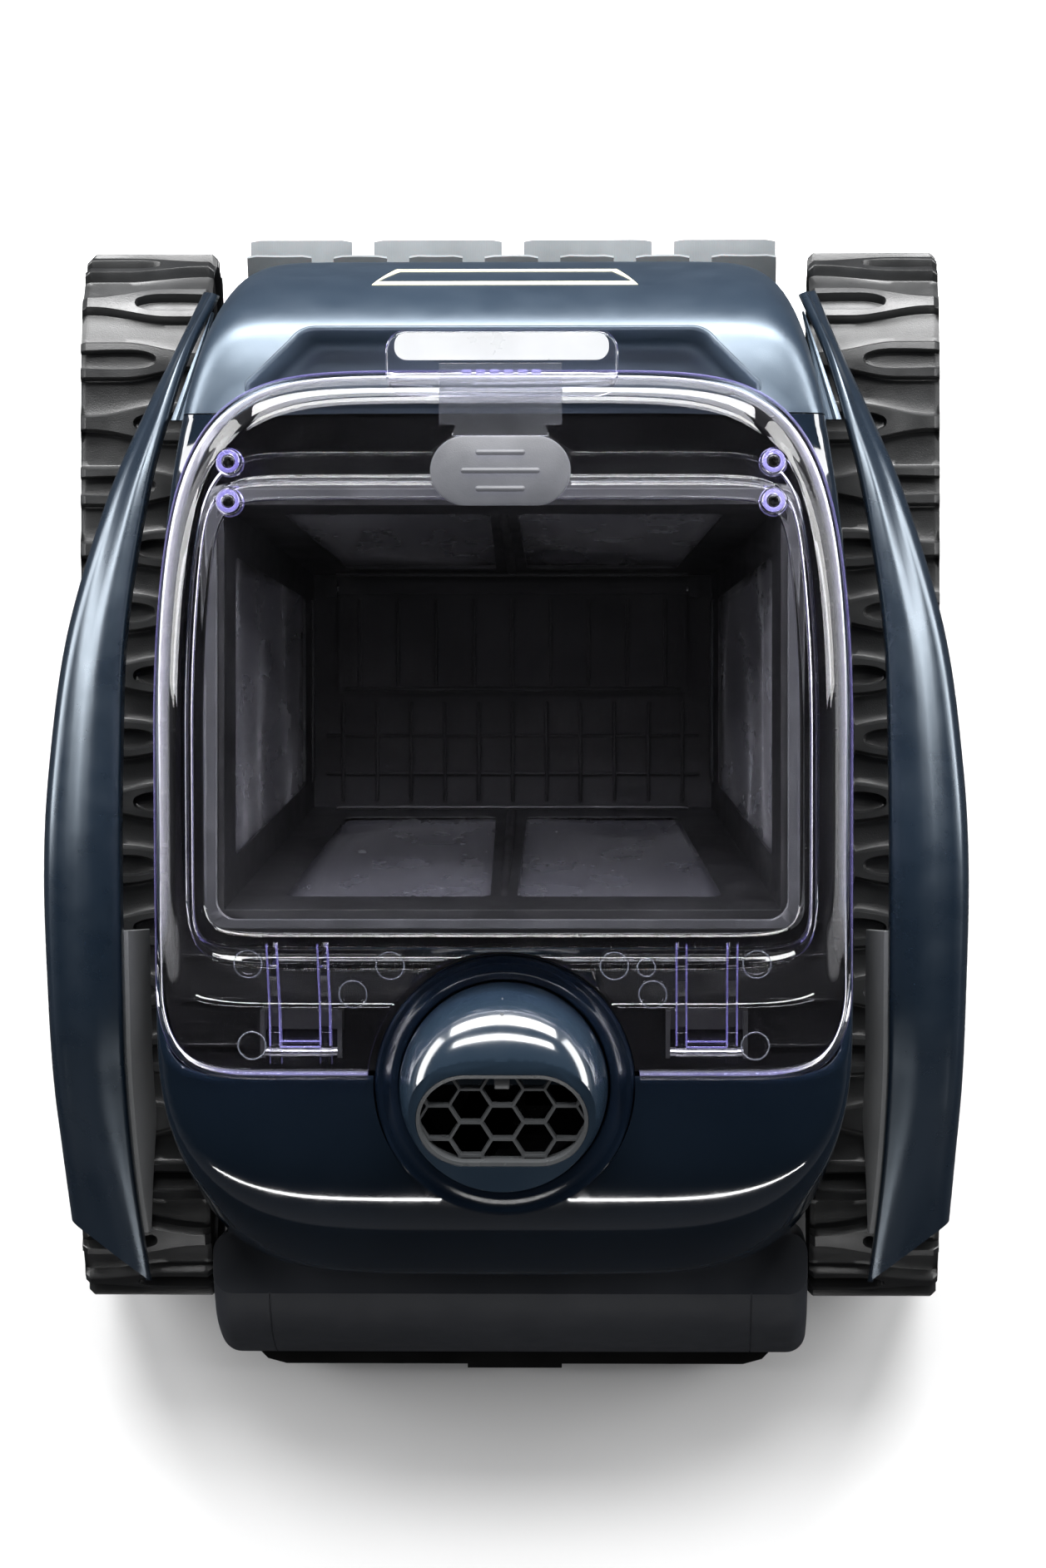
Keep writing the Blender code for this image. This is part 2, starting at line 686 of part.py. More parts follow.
def build_track(label, side):
    """A belt with chamfered shoulders, run round both wheels."""
    inner = TRACK_RADIUS - BELT_THICKNESS
    shoulder = 0.003
    rings = []
    for x, radius in (
        (TRACK_INNER_X, inner),
        (TRACK_INNER_X, TRACK_RADIUS - shoulder),
        (TRACK_INNER_X + shoulder, TRACK_RADIUS),
        (TRACK_OUTER_X - shoulder, TRACK_RADIUS),
        (TRACK_OUTER_X, TRACK_RADIUS - shoulder),
        (TRACK_OUTER_X, inner),
    ):
        rings.append([(side * x, y, z) for y, z in belt_loop(radius)])
    bm = bmesh.new()
    bridge_rings(bm, rings, closed=True)
    add_object(f"{label}_track", bm, RUBBER)


def build_wheel(label, side, place, axle_y, driven):
    """A dished wheel on its bearing, with a stub axle in front and a drive shaft at the rear."""
    middle = (side * (TRACK_INNER_X + TRACK_OUTER_X) / 2, axle_y, AXLE_Z)
    half = WHEEL_WIDTH / 2
    bore = AXLE_RADIUS + GAP if driven else BEARING_RADIUS + GAP
    profile = [
        (bore + 0.006, half - 0.004),
        (WHEEL_RADIUS - 0.008, half - 0.010),
        (WHEEL_RADIUS - 0.006, half),
        (WHEEL_RADIUS, half),
        (WHEEL_RADIUS, -half),
        (WHEEL_RADIUS - 0.006, -half),
        (WHEEL_RADIUS - 0.008, half - 0.014),
        (bore + 0.006, -half + 0.004),
        (bore, -half + 0.004),
        (bore, half - 0.004),
    ]
    turned(f"{label}_{place}_wheel", profile, middle, (side, 0, 0), BLACK_PLASTIC, steps=24)
    if driven:
        start, end = TUB_HALF_WIDTH - 0.006, TRACK_OUTER_X - 0.006
        centre = (side * (start + end) / 2, axle_y, AXLE_Z)
        cylinder(f"{label}_drive_shaft", AXLE_RADIUS, end - start, centre, (1, 0, 0), STEEL, sides=16)
        return
    start, end = TUB_HALF_WIDTH + GAP, TRACK_OUTER_X - 0.006
    centre = (side * (start + end) / 2, axle_y, AXLE_Z)
    radii = (AXLE_RADIUS + GAP, BEARING_RADIUS)
    sleeve(f"{label}_wheel_bearing", *radii, BEARING_LENGTH, middle, (1, 0, 0), GREY_PLASTIC, 16)
    cylinder(f"{label}_front_axle", AXLE_RADIUS, end - start, centre, (1, 0, 0), STEEL, sides=16)


def build_drive(label, side):
    """The gearmotor that turns a rear wheel, inside the tub."""
    inner_wall = TUB_HALF_WIDTH - TUB_WALL - GAP
    low_x, high_x = sorted((side * GEARBOX_INNER_X, side * (inner_wall - 0.0005)))
    low = (low_x, GEARBOX_Y[0], GEARBOX_Z[0])
    high = (high_x, GEARBOX_Y[1], GEARBOX_Z[1])
    gearbox = block(f"{label}_gearbox", low, high, GREY_PLASTIC, edge=0.003)
    mouth = (side * 0.126, REAR_AXLE_Y, AXLE_Z)
    cut(gearbox, cylinder(f"cut_gearbox_{label}", AXLE_RADIUS + GAP, 0.012, mouth, (1, 0, 0), sides=16))
    motor = f"{label}_drive_motor"
    centre = (side * DRIVE_MOTOR_X, REAR_AXLE_Y, AXLE_Z)
    cylinder(motor, DRIVE_MOTOR_RADIUS, DRIVE_MOTOR_LENGTH, centre, (1, 0, 0), STEEL, sides=20, edge=0.001)


def build_brush():
    """A finned sleeve on a shaft, held between the two arms."""
    outline = []
    for i in range(BRUSH_FINS):
        angle = 2 * math.pi * i / BRUSH_FINS
        along = Vector((math.cos(angle), math.sin(angle)))
        across = Vector((-along.y, along.x)) * BRUSH_FIN_HALF
        root = along * BRUSH_HUB_RADIUS
        tip = along * BRUSH_RADIUS
        for point in (root - across, tip - across, tip + across, root + across):
            outline.append((BRUSH_Y + point.x, BRUSH_Z + point.y))
    sleeve_body = prism("brush_sleeve", outline, -BRUSH_HALF_LENGTH, BRUSH_HALF_LENGTH, sideways, PVC_GREY)
    centre = (0, BRUSH_Y, BRUSH_Z)
    cut(sleeve_body, cylinder("cut_brush_bore", BRUSH_SHAFT_RADIUS + GAP, 0.3, centre, (1, 0, 0), sides=16))
    length = 2 * BRUSH_HALF_LENGTH + 0.003
    rod = cylinder("brush_shaft", BRUSH_SHAFT_RADIUS, length, centre, (1, 0, 0), STEEL, sides=16)
    join(rod, cylinder("join_brush_ends", BRUSH_PIN_RADIUS, 0.260, centre, (1, 0, 0), sides=16))


# ---------------------------------------------------------------- pump and power


def build_pump():
    """The upright pump: its motor, shaft and three-bladed propeller, and the duct up to the outlet."""
    centre = (0, NOZZLE_Y, PUMP_Z)
    cylinder("pump_motor", PUMP_RADIUS, PUMP_LENGTH, centre, material=STEEL, sides=28, edge=0.002)
    duct_high = NOZZLE_BASE_Z - GAP
    profile = [
        (DUCT_OUTER, duct_high),
        (DUCT_OUTER, DUCT_LOW_Z + 0.010),
        (DUCT_OUTER + 0.008, DUCT_LOW_Z),
        (DUCT_OUTER + 0.006, DUCT_LOW_Z),
        (DUCT_INNER, DUCT_LOW_Z + 0.010),
        (DUCT_INNER, duct_high),
    ]
    turned("outlet_duct", profile, (0, NOZZLE_Y, 0), steps=28)

    cylinder("motor_shaft", 0.0030, 0.060, (0, NOZZLE_Y, 0.1212), material=STEEL, sides=12)
    hub = turned(
        "propeller",
        [(0.0070, 0.010), (0.0100, 0.004), (0.0100, -0.010), (0.0033, -0.010), (0.0033, 0.010)],
        (0, NOZZLE_Y, PROPELLER_Z),
        material=GREY_PLASTIC,
        steps=20,
    )
    for k in range(3):
        bm = box_mesh(*BLADE)
        pitch = Matrix.Rotation(BLADE_PITCH, 4, "X")
        turn = Matrix.Rotation(2 * math.pi * k / 3, 4, "Z")
        place = Matrix.Translation((0, NOZZLE_Y, PROPELLER_Z))
        bmesh.ops.transform(bm, matrix=place @ turn @ pitch, verts=bm.verts)
        join(hub, add_object(f"join_blade_{k}", bm, GREY_PLASTIC))


def build_power():
    block("battery_pack", *BATTERY, CELL_WRAP, edge=0.004)
    block("control_box", *CONTROL_BOX, GREY_PLASTIC, edge=0.003)


# ---------------------------------------------------------------- nozzle


def outlet_place(u, v, w):
    """From the outlet's own plane (across, up the slope, outwards) to the world."""
    cos, sin = math.cos(OUTLET_TILT), math.sin(OUTLET_TILT)
    y = OUTLET_CENTRE[0] + v * cos - w * sin
    z = OUTLET_CENTRE[1] + v * sin + w * cos
    return (u, y, z)


def nozzle_height(across, along):
    """Height of the dome over its shoulder: round in front, square-shouldered behind."""
    reach = min(1.0, math.hypot(across, along) / NOZZLE_RADIUS)
    facing = 0.5 + 0.5 * along / max(1e-6, math.hypot(across, along))
    power = 5.0 - 2.4 * facing**2
    return (NOZZLE_TOP_Z - NOZZLE_SHOULDER_Z) * (1 - reach**power) ** (1 / power)


def build_nozzle():
    count = 32
    shares = (1.0, 0.985, 0.93, 0.82, 0.66, 0.45, 0.22)
    rings = [
        [
            (NOZZLE_RADIUS * math.cos(a), NOZZLE_Y + NOZZLE_RADIUS * math.sin(a), NOZZLE_BASE_Z)
            for a in (2 * math.pi * i / count for i in range(count))
        ]
    ]
    for share in shares:
        ring = []
        for i in range(count):
            angle = 2 * math.pi * i / count
            across = share * NOZZLE_RADIUS * math.cos(angle)
            along = share * NOZZLE_RADIUS * math.sin(angle)
            height = NOZZLE_SHOULDER_Z + (nozzle_height(across, along) if share < 1 else 0.0)
            ring.append((across, NOZZLE_Y + along, height))
        rings.append(ring)
    bm = bmesh.new()
    bridge_rings(bm, rings, cap_first=True, cap_last=True)
    dome = add_object("nozzle_dome", bm, NAVY_GLOSS)

    big = [(-0.08, -0.08), (0.08, -0.08), (0.08, 0.08), (-0.08, 0.08)]
    cut(dome, prism("cut_nozzle_face", big, 0.0, 0.08, outlet_place, BLACK_PLASTIC))
    mouth = stadium(OUTLET_HALF_WIDTH, OUTLET_HALF_HEIGHT, 8)
    cut(dome, prism("cut_nozzle_mouth", mouth, -0.022, 0.03, outlet_place, BLACK_PLASTIC))
    cut(dome, cylinder("cut_nozzle_bore", DUCT_INNER, 0.05, (0, NOZZLE_Y, 0.1900), sides=32))

    grille_rim = stadium(OUTLET_HALF_WIDTH - GAP, OUTLET_HALF_HEIGHT - GAP, 8)
    grille = prism("nozzle_grille", grille_rim, -0.0070, -0.0035, outlet_place, GREY_PLASTIC)
    pitch = CELL_PITCH
    corner = pitch * 0.46 / math.cos(math.pi / 6)
    corner_angles = [math.pi / 3 * k for k in range(6)]
    index = 0
    for column in range(-2, 3):
        for row in range(-1, 2):
            u = column * pitch * math.sqrt(3) / 2
            v = row * pitch + (pitch / 2 if column % 2 else 0.0)
            if abs(u) > 0.030 or abs(v) > 0.0135:
                continue
            hexagon = [(u + corner * math.cos(a), v + corner * math.sin(a)) for a in corner_angles]
            cut(grille, prism(f"cut_cell_{index}", hexagon, -0.02, 0.01, outlet_place, BLACK_PLASTIC))
            index += 1

    centre = (0, NOZZLE_Y, 0.1870)
    sleeve("nozzle_seat", SEAT_INNER, SEAT_OUTER, 0.0160, centre, material=NAVY_GLOSS, steps=40)


# ---------------------------------------------------------------- filter basket


def basket_rectangle(share, grow=0.0):
    """The basket's outline at a share of the way from its floor (0) to its rim (1)."""
    left, right, rear, front = (
        low + (high - low) * share for low, high in zip(BASKET_FLOOR, BASKET_TOP)
    )
    return left - grow, right + grow, rear - grow, front + grow


def basket_ring(share, grow=0.0):
    left, right, rear, front = basket_rectangle(share, grow)
    height = BASKET_FLOOR_Z + (BASKET_TOP_Z - BASKET_FLOOR_Z) * share
    return [(left, rear, height), (right, rear, height), (right, front, height), (left, front, height)]


def wall_panel(name, side_index, low, high, from_share, to_share, inner, outer, material):
    """A panel lying in one of the basket's four sloping walls, between two heights and two widths."""

    def corner(share, place, grow):
        ring = basket_ring(share, grow)
        start, end = Vector(ring[side_index]), Vector(ring[(side_index + 1) % 4])
        return tuple(start.lerp(end, place))

    rings = []
    for grow in (inner, outer):
        rings.append(
            [
                corner(from_share, low, grow),
                corner(from_share, high, grow),
                corner(to_share, high, grow),
                corner(to_share, low, grow),
            ]
        )
    bm = bmesh.new()
    bridge_rings(bm, rings, cap_first=True, cap_last=True)
    return add_object(name, bm, material)


def build_basket():
    """A tapered frame with six windows, a rim, mesh outside its walls and a floor with the inlet."""
    outer = [basket_ring(0.0), basket_ring(0.93), basket_ring(1.0)]
    bm = bmesh.new()
    bridge_rings(bm, outer, cap_first=True, cap_last=True)
    frame = add_object("filter_frame", bm, BLACK_PLASTIC)
    left, right, rear, front = BASKET_TOP
    rim_outline = rounded_rectangle(left - 0.006, right + 0.006, rear - 0.005, front + 0.005, 0.012)
    low, high = BASKET_TOP_Z - 0.004, BASKET_TOP_Z + 0.0005
    join(frame, prism("join_basket_rim", rim_outline, low, high, upright, BLACK_PLASTIC))
    inner = [basket_ring(0.0, -BASKET_WALL), basket_ring(1.0, -BASKET_WALL)]
    inner[0] = [(x, y, z - 0.01) for x, y, z in inner[0]]
    inner[1] = [(x, y, z + 0.01) for x, y, z in inner[1]]
    bm = bmesh.new()
    bridge_rings(bm, inner, cap_first=True, cap_last=True)
    cut(frame, add_object("cut_basket_inside", bm, BLACK_PLASTIC))

    for index, (wall, low, high) in enumerate(BASKET_WINDOWS):
        heights = (0.10, 0.88)
        cut(frame, wall_panel(f"cut_window_{index}", wall, low, high, *heights, -0.02, 0.02, BLACK_PLASTIC))

    for wall, label in enumerate(("rear", "right", "front", "left")):
        wall_panel(f"filter_mesh_{label}", wall, 0.055, 0.945, 0.06, 0.92, GAP, 0.0013, MESH_CLOTH)

    left, right, rear, front = BASKET_FLOOR
    floor = block(
        "filter_floor",
        (left, rear, BASKET_FLOOR_Z - 0.003),
        (right, front, BASKET_FLOOR_Z - GAP),
    )
    mouth_low = (-INTAKE_HALF_WIDTH, INTAKE_Y[0], 0.0)
    mouth_high = (INTAKE_HALF_WIDTH, INTAKE_Y[1], 0.1)
    cut(floor, block("cut_floor_intake", mouth_low, mouth_high))
    for label, side in (("left", -1), ("right", 1)):
        near, far = side * 0.0828, side * 0.0880
        lug_low = (min(near, far), FLAP_PIN[0] - 0.004, BASKET_FLOOR_Z - 0.001)
        lug_high = (max(near, far), FLAP_PIN[0] + 0.004, FLAP_PIN[1] + 0.0035)
        join(floor, block(f"join_lug_{label}", lug_low, lug_high))
    cut(floor, cylinder("cut_lug_bore", FLAP_PIN_RADIUS + GAP, 0.2, (0, *FLAP_PIN), (1, 0, 0), sides=12))


def build_flap():
    """The inlet flap, which the incoming water lifts, on a pin along its front edge."""
    pin_y, pin_z = FLAP_PIN
    half, barrel = 0.082, 0.0028
    flap = block("inlet_flap", (-half, INTAKE_Y[0] - 0.004, pin_z - 0.0010), (half, pin_y, pin_z + 0.0010))
    barrel_low = (-half, pin_y - barrel, pin_z - barrel)
    barrel_high = (half, pin_y + barrel, pin_z + barrel)
    join(flap, block("join_flap_barrel", barrel_low, barrel_high))
    cut(flap, cylinder("cut_flap_bore", FLAP_PIN_RADIUS + GAP, 0.2, (0, pin_y, pin_z), (1, 0, 0), sides=12))
    cylinder("flap_pin", FLAP_PIN_RADIUS, 0.1750, (0, pin_y, pin_z), (1, 0, 0), STEEL, sides=12)


# ---------------------------------------------------------------- lid


def lid_lift(y, behind, ahead):
    """Blends a height from the low rear of the lid to its raised front."""
    t = min(1.0, max(0.0, (y + 0.090) / 0.060))
    t = t * t * (3 - 2 * t)
    return behind + (ahead - behind) * t


def lid_ring(row, inset=0.0, drop=0.0):
    front_y, rear_y, half_width, behind, ahead, front_power, rear_power = row
    edges = (front_y - inset, rear_y + inset, half_width - inset)
    outline = hull_outline(*edges, front_power, rear_power, rear_taper=LID_REAR_TAPER)
    made = []
    for x, y in outline:
        made.append((x, y, RIM_Z + GAP + RIM_SLOPE * y + lid_lift(y, behind, ahead) - drop))
    return made


def build_lid():
    """The clear shell, with its finger tab, hinge ribs, screw bosses and an arch round the nozzle."""
    insets = (
        (LID_WALL, 0.0),
        (LID_WALL, 0.0006),
        (0.0022, 0.0020),
        (0.0012, LID_WALL),
        (0.0005, LID_WALL),
        (0.0, LID_WALL),
    )
    rings = [lid_ring(row, inset, drop) for row, (inset, drop) in reversed(list(zip(LID_RINGS, insets)))]
    rings += [lid_ring(row) for row in LID_RINGS]
    bm = bmesh.new()
    bridge_rings(bm, rings, cap_first=True, cap_last=True)
    lid = add_object("lid_shell", bm, CLEAR_PLASTIC)
    half = LID_TAB_HALF_WIDTH
    tab = rounded_rectangle(-half, half, 0.183, LID_TAB_FRONT_Y, 0.007)
    join(lid, prism("join_lid_tab", tab, 0.2360, 0.2400, upright, CLEAR_PLASTIC))
    for side in (-1, 1):
        for index, (near, far) in enumerate(HINGE_RIBS_X):
            low = (min(side * near, side * far), LID_HINGE_Y - 0.0060, LID_HINGE_Z - 0.0045)
            high = (max(side * near, side * far), LID_HINGE_Y + 0.0060, LID_HINGE_Z + 0.0068)
            join(lid, block(f"join_rib_{side}_{index}", low, high))
        centre = (side * 0.091, LID_HINGE_Y, LID_HINGE_Z)
        cut(lid, cylinder(f"cut_rib_bore_{side}", PIN_RADIUS + GAP, 0.040, centre, (1, 0, 0), sides=12))
    cut(lid, cylinder("cut_lid_arch", 0.0605, 0.10, (0, NOZZLE_Y, 0.2250), sides=40))

    for index, (x, y) in enumerate(LID_SCREWS):
        boss_z = BOSS_TOP_Z - 0.0040
        join(lid, cylinder(f"join_boss_{index}", 0.0048, 0.0080, (x, y, boss_z), sides=16))
        cut(lid, cylinder(f"cut_boss_{index}", 0.0031, 0.0060, (x, y, BOSS_TOP_Z), sides=16))
        head = (x, y, BOSS_TOP_Z - 0.0017)
        cylinder(f"lid_screw_{index + 1}", 0.0028, 0.0018, head, material=STEEL, sides=16)

    plate = rounded_rectangle(*PLATE_OUTLINE, 0.005)
    prism("lid_plate", plate, 0.2403, 0.2411, upright, WHITE_PLASTIC)

    left, right, rear, front = BASKET_TOP
    outer = rounded_rectangle(left - 0.004, right + 0.004, rear - 0.003, front + 0.003, 0.010)
    low, high = BASKET_TOP_Z + 0.0008, BASKET_TOP_Z + 0.0035
    gasket = prism("lid_gasket", outer, low, high, upright, RUBBER)
    hole = rounded_rectangle(left + 0.001, right - 0.001, rear + 0.002, front - 0.002, 0.007)
    cut(gasket, prism("cut_gasket", hole, 0.2, 0.3, upright, RUBBER))


def build_hinge(label, side):
    """Two ears that reach back from a foot to the pin, outside the lid's ribs, and the pin."""
    near, far = BRACKET_X
    width, reach = 0.0020, 0.0030
    foot_rear, foot_front = BRACKET_FOOT_Y
    base_z = DECK_TOP_Z + GAP
    low_x, high_x = sorted((side * (near - width), side * (far + width)))
    low = (low_x, LID_HINGE_Y - reach, base_z)
    high = (high_x, foot_front, LID_HINGE_Z + reach)
    bracket = block(f"{label}_hinge_bracket", low, high)
    under_low = (low_x - 0.01, -0.2, 0.1)
    under_high = (high_x + 0.01, foot_rear, LID_HINGE_Z - reach)
    cut(bracket, block(f"cut_bracket_under_{label}", under_low, under_high))
    slot_low, slot_high = sorted((side * near, side * far))
    cut(bracket, block(f"cut_bracket_{label}", (slot_low, -0.2, base_z + width), (slot_high, 0.2, 0.3)))
    centre = (side * (near + far) / 2, LID_HINGE_Y, LID_HINGE_Z)
    cut(bracket, cylinder(f"cut_bracket_bore_{label}", PIN_RADIUS + GAP, 0.06, centre, (1, 0, 0), sides=12))
    length = far - near + 2 * width
    cylinder(f"{label}_hinge_pin", PIN_RADIUS, length, centre, (1, 0, 0), STEEL, 12)


def build_latch():
    """A ribbed pad on a clear strap, which slides on the front of the lid."""
    outline = [(x, y + LATCH_PAD_Y) for x, y in stadium(*LATCH_PAD_HALF, 8)]
    low = LATCH_Z
    pad = prism("latch_pad", outline, low, low + 0.0030, upright, FROSTED_PLASTIC)
    for index, (offset, half) in enumerate(LATCH_RIBS):
        y = LATCH_PAD_Y + offset
        rib_low = (-half, y - 0.0012, low + 0.002)
        rib_high = (half, y + 0.0012, low + 0.0045)
        join(pad, block(f"join_latch_rib_{index}", rib_low, rib_high))
    rear_y, front_y = STRAP_Y
    strap_low = (-STRAP_HALF_WIDTH, rear_y, low)
    strap_high = (STRAP_HALF_WIDTH, front_y, low + 0.0012)
    block("latch_strap", strap_low, strap_high, CLEAR_PLASTIC)


build_hull()
build_deck()
build_tub()
build_intake()
build_tail()
for_each_side(build_fender)
for_each_side(build_strut)
for_each_side(build_track)
for side_label, side_sign in (("left", -1), ("right", 1)):
    build_wheel(side_label, side_sign, "front", FRONT_AXLE_Y, driven=False)
    build_wheel(side_label, side_sign, "rear", REAR_AXLE_Y, driven=True)
for_each_side(build_drive)
build_brush()
build_pump()
build_power()
build_nozzle()
build_basket()
build_flap()
build_lid()
for_each_side(build_hinge)
build_latch()
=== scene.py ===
"""The looks of a cordless tracked pool cleaner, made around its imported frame.

Metres, +Z up, +Y towards the brush, the machine standing on Z = 0.
"""

from math import copysign, cos, hypot, pi, radians, sin, sqrt

import bmesh
import bpy
from mathutils import Matrix, Vector
from mathutils.bvhtree import BVHTree


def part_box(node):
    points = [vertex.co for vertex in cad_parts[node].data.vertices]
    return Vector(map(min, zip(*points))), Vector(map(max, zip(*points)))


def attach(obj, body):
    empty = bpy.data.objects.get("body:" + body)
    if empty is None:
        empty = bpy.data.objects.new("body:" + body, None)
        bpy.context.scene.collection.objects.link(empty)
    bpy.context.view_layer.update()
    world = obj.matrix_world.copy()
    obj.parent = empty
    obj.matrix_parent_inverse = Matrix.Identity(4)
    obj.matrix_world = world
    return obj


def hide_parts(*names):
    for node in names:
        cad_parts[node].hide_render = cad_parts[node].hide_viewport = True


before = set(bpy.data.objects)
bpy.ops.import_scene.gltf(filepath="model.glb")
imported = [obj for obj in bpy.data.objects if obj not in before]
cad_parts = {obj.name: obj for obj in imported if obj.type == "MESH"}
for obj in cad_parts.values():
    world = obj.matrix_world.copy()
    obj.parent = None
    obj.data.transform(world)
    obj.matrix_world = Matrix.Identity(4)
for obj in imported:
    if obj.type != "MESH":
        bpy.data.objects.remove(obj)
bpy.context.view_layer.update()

GAP = 0.0003
SIDES = (("left", -1), ("right", 1))

# The hull's outlines are bowed rectangles about this point, narrowed towards the front;
# FAR is past the whole machine, for the blocks that cut it
MIDDLE_Y = 0.02
TAPER = 0.63
TAPER_FROM_Y = 0.03
REAR_TAPER_FROM_Y = -0.080
LID_REAR_TAPER = 6.0
AROUND = 420
HULL_WALL = 0.0024
FAR = 0.4

# Levels of the hull from its bottom edge up to the rim: height at y = 0, slope along y, front y,
# rear y, half width, how square its front and its rear corners are
HULL_LEVELS = (
    (0.1190, 0.000, 0.2500, -0.2110, 0.1560, 14, 5),
    (0.1260, 0.000, 0.2515, -0.2150, 0.1575, 14, 5),
    (0.1480, 0.020, 0.2470, -0.2100, 0.1585, 14, 5),
    (0.1780, 0.045, 0.2360, -0.1930, 0.1580, 14, 6),
    (0.1990, 0.072, 0.2190, -0.1660, 0.1570, 14, 9),
    (0.2090, 0.080, 0.1968, -0.1250, 0.1563, 6, 16),
)
RIM = (0.2098, 0.080, 0.1950, -0.1236, 0.1562, 6, 16)
HOOD_SPLIT_Y = 0.176
DECK_Z = 0.187

# The stern's rear face from its foot to its top: height and y
STERN_CURVE = ((0.0200, -0.2598), (0.045, -0.2570), (0.080, -0.2450), (0.100, -0.2260))

# Levels of the lid: front y, rear y, half width, rise over the rim behind and ahead, and corners
LID_LEVELS = (
    (0.1945, -0.1215, 0.1560, 0.0045, 0.0080, 6, 16),
    (0.1937, -0.1200, 0.1554, 0.0065, 0.0150, 6, 16),
    (0.1915, -0.1175, 0.1540, 0.0085, 0.0215, 6, 16),
    (0.1875, -0.1050, 0.1510, 0.0105, 0.0272, 6, 16),
    (0.1825, -0.0915, 0.1475, 0.0135, 0.0309, 6, 16),
    (0.1755, -0.0820, 0.1440, 0.0180, 0.0330, 7, 13),
    (0.1670, -0.0750, 0.1418, 0.0220, 0.0337, 9, 10),
    (0.1590, -0.0710, 0.1402, 0.0250, 0.0330, 10, 10),
)
WINDOW_LEVELS = (
    (0.1565, -0.0700, 0.1396, 0.0258, 0.0312, 11, 11),
    (0.1545, -0.0690, 0.1390, 0.0262, 0.0303, 12, 12),
    (0.1475, -0.0650, 0.1374, 0.0290, 0.0303, 14, 14),
    (0.1450, -0.0630, 0.1368, 0.0310, 0.0322, 15, 15),
    (0.1430, -0.0615, 0.1363, 0.0328, 0.0343, 16, 16),
    (0.1412, -0.0600, 0.1356, 0.0334, 0.0347, 16, 16),
    (0.1380, -0.0570, 0.1330, 0.0338, 0.0347, 16, 16),
    (0.1366, -0.0556, 0.1316, 0.0330, 0.0336, 16, 16),
)
PANE_LEVELS = (
    WINDOW_LEVELS[-1],
    (0.1200, -0.0430, 0.1150, 0.0330, 0.0336, 14, 14),
    (0.0900, -0.0250, 0.0780, 0.0334, 0.0336, 10, 10),
    (0.0550, -0.0050, 0.0400, 0.0336, 0.0336, 6, 6),
    (0.0300, 0.0120, 0.0100, 0.0336, 0.0336, 4, 4),
)
LID_WALL = 0.0028
LID_ARCH_RADIUS = 0.0612
TAB_HALF = 0.0515
TAB_Y = (0.1830, 0.2120)
TAB_Z = (0.2360, 0.2400)
SCREWS = ((-0.120, 0.1530), (-0.120, 0.1355), (0.120, 0.1530), (0.120, 0.1355))

# Section of a screw boss and of the ring of painted highlight on top of it: radius and height
BOSS_PROFILE = (
    (0.0030, 0.2535), (0.0030, 0.2566), (0.0036, 0.2575), (0.0046, 0.2575), (0.0052, 0.2569),
    (0.0058, 0.2545), (0.0062, 0.2500), (0.0064, 0.2430), (0.0012, 0.2430), (0.0012, 0.2535),
)
BOSS_HIGHLIGHT_PROFILE = ((0.0031, 0.2572), (0.0034, 0.2577), (0.0046, 0.2578), (0.0051, 0.2574), (0.0050, 0.2570))

# Ejector circles on the right half of the lid's rear, and how large they are
EJECTOR_MARKS = ((0.1130, -0.0690), (0.0498, -0.0697), (0.0668, -0.0827), (0.1125, -0.1060))
EJECTOR_RADIUS = 0.0062

# Outlet nozzle
NOZZLE_Y = -0.1245
NOZZLE_RADIUS = 0.0467
NOZZLE_BASE_Z = 0.1890
NOZZLE_SHOULDER_Z = 0.1970
NOZZLE_TOP_Z = 0.2440
OUTLET_TILT = radians(22.6)
OUTLET_CENTRE = (NOZZLE_Y - 0.0140, 0.2325)
OUTLET_HALF = (0.0385, 0.0225)
SEAT_RADII = (0.0475, 0.0586)

# Tracks, wheels and brush
TRACK_X = (0.139, 0.199)
TRACK_RADIUS = 0.057
BELT_THICKNESS = 0.0065
FRONT_AXLE_Y = 0.204
REAR_AXLE_Y = -0.173
AXLE_Z = TRACK_RADIUS
WHEEL_RADIUS = 0.0493
BRUSH_Y = 0.223
BRUSH_Z = 0.050
BRUSH_RADIUS = 0.045
BRUSH_HALF = 0.124
BRUSH_FINS = 10

# Filter basket: rectangles as (left, right, rear, front)
BASKET_TOP = (-0.128, 0.128, -0.050, 0.139)
BASKET_FLOOR = (-0.095, 0.095, 0.000, 0.111)
BASKET_Z = (0.052, 0.229)

# Fender: stations along one side as (inner y, inner x, outer y, outer x, crown height, inner wall)
FENDER_STATIONS = (
    (0.2360, 0.1330, 0.2390, 0.1420, 0.1300, 0.008),
    (0.2060, 0.1445, 0.2090, 0.1530, 0.1620, 0.010),
    (0.1770, 0.1525, 0.1790, 0.1660, 0.1790, 0.012),
    (0.1390, 0.1612, 0.1390, 0.1820, 0.1900, 0.013),
    (0.0790, 0.1700, 0.0790, 0.1990, 0.1970, 0.014),
    (0.0200, 0.1720, 0.0200, 0.2070, 0.1985, 0.014),
    (-0.0290, 0.1725, -0.0290, 0.2097, 0.1960, 0.014),
    (-0.0860, 0.1725, -0.0860, 0.2090, 0.1840, 0.014),
    (-0.1250, 0.1725, -0.1250, 0.2080, 0.1680, 0.013),
    (-0.1720, 0.1700, -0.1580, 0.2060, 0.1470, 0.011),
    (-0.2190, 0.1650, -0.1910, 0.2040, 0.1230, 0.008),
)


# ---------------------------------------------------------------- materials


